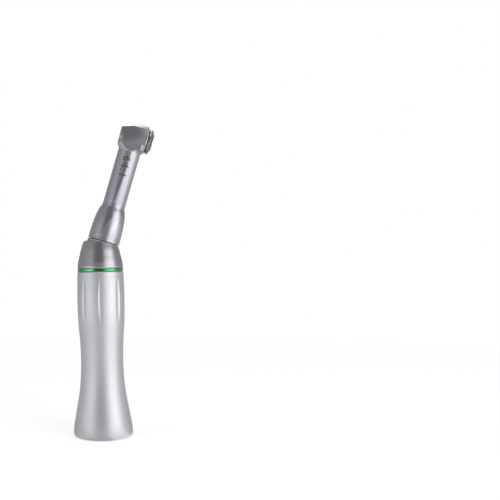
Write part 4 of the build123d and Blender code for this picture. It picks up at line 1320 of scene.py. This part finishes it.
@dataclass
class Studio:
    """The floor, the surrounding reflectors, the lamps, the world and the camera."""

    floor_reach: float = 1.6
    floor_colour: Triple = (0.90, 0.90, 0.90)
    floor_roughness: float = 0.9
    floor_fade: Point = (0.10, 0.40)
    floor_near: float = 0.72
    tent_inner: float = 0.0090
    tent_r: float = 0.5
    tent_low: float = 0.0001
    tent_high: float = 1.2
    # Each glow row: angle in degrees, 0 in front and positive to the right, and glow.
    floor_glow: Outline = field(default_factory=lambda: [
        (-180, 0.42), (-120, 0.45), (-90, 0.56), (-40, 0.74), (-27, 0.58), (0, 0.54), (14, 0.64),
        (26, 1.14), (70, 1.21), (90, 0.67), (110, 0.47), (180, 0.42)])
    low_glow: Outline = field(default_factory=lambda: [
        (-180, 0.30), (-120, 0.32), (-98, 0.40), (-76, 1.00), (-46, 1.44), (-34, 0.60), (-23, 0.12),
        (4, 0.12), (16, 0.26), (34, 1.2), (48, 1.58), (64, 1.50), (84, 0.62), (105, 0.40), (180, 0.30)])
    flare_glow: Outline = field(default_factory=lambda: [
        (-180, 0.28), (-120, 0.31), (-90, 0.40), (-62, 0.84), (-46, 0.90), (-34, 0.56), (-20, 0.24),
        (5, 0.24), (14, 0.48), (28, 1.10), (44, 1.34), (68, 1.34), (86, 0.66), (100, 0.42), (180, 0.28)])
    middle_glow: Outline = field(default_factory=lambda: [
        (-180, 0.28), (-120, 0.31), (-90, 0.35), (-60, 0.43), (-48, 0.45), (-34, 0.32), (-20, 0.25),
        (10, 0.26), (20, 0.50), (32, 1.05), (46, 1.32), (66, 1.32), (84, 0.55), (98, 0.32), (180, 0.28)])
    front_glow: Outline = field(default_factory=lambda: [
        (-180, 0.28), (-120, 0.31), (-90, 0.35), (-60, 0.43), (-48, 0.45), (-34, 0.36), (-20, 0.28),
        (-4, 0.30), (4, 0.42), (10, 0.44), (20, 0.56), (32, 1.05), (46, 1.32), (66, 1.32), (84, 0.55),
        (98, 0.32), (180, 0.28)])
    high_glow: Outline = field(default_factory=lambda: [
        (-180, 0.28), (-120, 0.31), (-90, 0.35), (-60, 0.44), (-48, 0.46), (-34, 0.27), (-20, 0.165),
        (8, 0.17), (17, 0.28), (32, 0.95), (48, 1.32), (66, 1.32), (86, 0.50), (100, 0.30), (180, 0.28)])
    top_glow: Outline = field(default_factory=lambda: [
        (-180, 0.26), (-90, 0.30), (-50, 0.30), (-20, 0.17), (10, 0.18), (30, 0.36), (70, 0.40),
        (100, 0.28), (180, 0.26)])
    # The heights that the rows hold at; a row named twice in make_tent holds over two of them.
    levels: tuple[float, ...] = (
        0.01, 0.03, 0.064, 0.074, 0.092, 0.100, 0.152, 0.172, 0.194, 0.211, 0.26, 0.44)
    contact_shade: tuple[float, ...] = (0.014, 0.34, 0.67, 1.0)  # near, far, their shares of the glow
    card_low: Triple = (0.000, -0.028, 0.135)
    card_high: Triple = (0.048, 0.120, 0.135)
    card_fade: Point = (0.013, 0.031)
    card_glow: Point = (1.85, 0.48)
    lamps: tuple[Lamp, ...] = (
        Lamp("key", (0.45, -0.55, 0.55), 0.5, 4.0), Lamp("fill", (-0.6, -0.4, 0.35), 0.6, 1.6),
        Lamp("top", (0.0, 0.1, 0.9), 0.7, 3.0))
    lamp_target: Triple = (0, 0, 0.05)
    ambient: float = 0.55
    distance: float = 0.268
    eye_height: float = 0.058
    lens: float = 55.0  # in millimetres, as lenses are marked
    roll: float = -1.13
    shift: Point = (0.2993, 0.040)

    def make_floor(self) -> None:
        """Lays the pale floor, which keeps the object's soft shadow."""
        deselect()
        bpy.ops.mesh.primitive_grid_add(x_subdivisions=4, y_subdivisions=4, size=2 * self.floor_reach,
                                        location=(0, 0, 0))
        floor = bpy.context.object
        floor.name = "floor"
        material, wires = new_material("pale_floor")
        surface = wires.tree.nodes["Principled BSDF"]
        wires.feed(surface, {"Base Color": (*self.floor_colour, 1), "Roughness": self.floor_roughness})
        away = wires.distance(wires.node("TexCoord").outputs["Object"])
        share = wires.spread(away, *self.floor_fade, self.floor_near, 1.0)
        wires.cover(wires.math("MULTIPLY", wires.backdrop_rays(), share), surface,
                    wires.node("Emission", {"Color": WHITE}), "Material Output")
        floor.data.materials.append(material)

    @staticmethod
    def glow_ramp(wires: Wiring, share: bpy.types.NodeSocket, stops: Outline,
                  top: float) -> bpy.types.NodeSocket:
        """Draws the glow around the tent at one height.

        Args:
            wires: the material's tree.
            share: how far round the tent a point is, from 0 to 1.
            stops: each angle in degrees, 0 in front and positive to the right, with its glow.
            top: the glow that is drawn as white.

        Returns:
            The glow as a grey colour.
        """
        ramp = wires.node("ValToRGB", {"Fac": share})
        marks = ramp.color_ramp.elements
        while len(marks) < len(stops):
            marks.new(0.5)
        for mark, (angle, _) in zip(marks, stops):
            mark.position = (angle + 180) / 360
        for mark, (_, glow) in zip(marks, stops):
            mark.color = (glow / top, glow / top, glow / top, 1)
        return ramp.outputs["Color"]

    def make_tent(self) -> None:
        """Stands the open drum of soft reflectors and flags that only the metal mirrors."""
        deselect()
        bpy.ops.mesh.primitive_circle_add(vertices=96, radius=self.tent_inner, location=(0, 0, self.tent_low))
        tent = bpy.context.object
        tent.name = "reflectors"
        settle()
        edit_all()
        grow, rise = self.tent_r / self.tent_inner, self.tent_high - self.tent_low
        bpy.ops.mesh.extrude_edges_move()
        bpy.ops.transform.resize(value=(grow, grow, 1), center_override=(0, 0, self.tent_low))
        bpy.ops.mesh.extrude_edges_move(TRANSFORM_OT_translate={"value": (0, 0, rise)})
        leave_edit()
        material, wires = new_material("reflector_glow")
        place = wires.node("TexCoord").outputs["Object"]
        split = wires.node("SeparateXYZ", {0: place}).outputs
        bearing = wires.math("ARCTAN2", split["X"], wires.math("MULTIPLY", split["Y"], -1.0))
        share = wires.spread(bearing, -math.pi, math.pi, 0, 1)
        rows = (self.floor_glow, self.low_glow, self.low_glow, self.flare_glow, self.flare_glow,
                self.middle_glow, self.middle_glow, self.front_glow, self.front_glow, self.high_glow,
                self.high_glow, self.top_glow)
        top = max(glow for row in rows for _, glow in row)
        colour = self.glow_ramp(wires, share, rows[0], top)
        for i in range(1, len(rows)):
            if rows[i] is not rows[i - 1]:
                rise = wires.spread(split["Z"], self.levels[i - 1], self.levels[i], 0, 1)
                colour = wires.mix(rise, colour, self.glow_ramp(wires, share, rows[i], top))
        near, far, shaded, full = self.contact_shade
        wires.glow(wires.spread(wires.distance(place), near, far, shaded * top, full * top), colour)
        tent.data.materials.append(material)
        self.only_mirrored(tent)

    @staticmethod
    def only_mirrored(obj: bpy.types.Object) -> None:
        """Puts a reflector on the stage and hides it from all but glossy rays.

        Args:
            obj: the reflector.
        """
        for ray in ("visible_camera", "visible_diffuse", "visible_transmission", "visible_volume_scatter",
                    "visible_shadow"):
            setattr(obj, ray, False)

    def make_card(self) -> None:
        """Hangs the bright overhead card that whitens the upper edges."""
        low, high = Vector(self.card_low), Vector(self.card_high)
        deselect()
        bpy.ops.mesh.primitive_plane_add(size=1, location=(low + high) / 2)
        card = bpy.context.object
        card.name = "overhead_card"
        card.scale = (high.x - low.x, high.y - low.y, 1)
        settle()
        material, wires = new_material("card_glow")
        along = wires.node("SeparateXYZ", {0: wires.node("TexCoord").outputs["Object"]}).outputs["X"]
        wires.glow(wires.spread(along, *self.card_fade, *self.card_glow), WHITE)
        card.data.materials.append(material)
        self.only_mirrored(card)

    def make_world(self) -> None:
        """Sets the white surroundings and the soft ambient light."""
        world = bpy.data.worlds.new("white_room")
        bpy.context.scene.world = world
        world.use_nodes = True
        wires = Wiring(world.node_tree)
        ambient = wires.tree.nodes["Background"]
        wires.feed(ambient, {"Color": WHITE, "Strength": self.ambient})
        white = wires.node("Background", {"Color": WHITE, "Strength": 1.0})
        wires.cover(wires.backdrop_rays(), ambient, white, "World Output")

    def make_camera(self) -> None:
        """Sets the camera level in front of the handpiece, a little rolled."""
        data = bpy.data.cameras.new("camera")
        data.lens = self.lens
        data.shift_x, data.shift_y = self.shift
        camera = bpy.data.objects.new("camera", data)
        bpy.context.scene.collection.objects.link(camera)
        upright = Matrix.Rotation(math.radians(90), 4, "X")
        roll = Matrix.Rotation(math.radians(self.roll), 4, "Z")
        place = Matrix.Translation(Vector((0, -self.distance, self.eye_height)))
        camera.matrix_world = place @ upright @ roll
        bpy.context.scene.camera = camera

    def build(self) -> None:
        """Sets up the whole studio."""
        self.make_floor()
        self.make_tent()
        self.make_card()
        for lamp in self.lamps:
            lamp.build(self.lamp_target)
        self.make_world()
        self.make_camera()
        bpy.context.scene.view_settings.view_transform = "Standard"


def main() -> None:
    """Builds every sub-assembly in order."""
    logging.basicConfig(level=logging.INFO, format="%(message)s")
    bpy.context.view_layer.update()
    for part in (Internals(), Grip(), Shoulder(), NeckSleeve(), Head(), Studio()):
        part.build()
    bpy.context.view_layer.update()


if __name__ == "__main__":
    main()
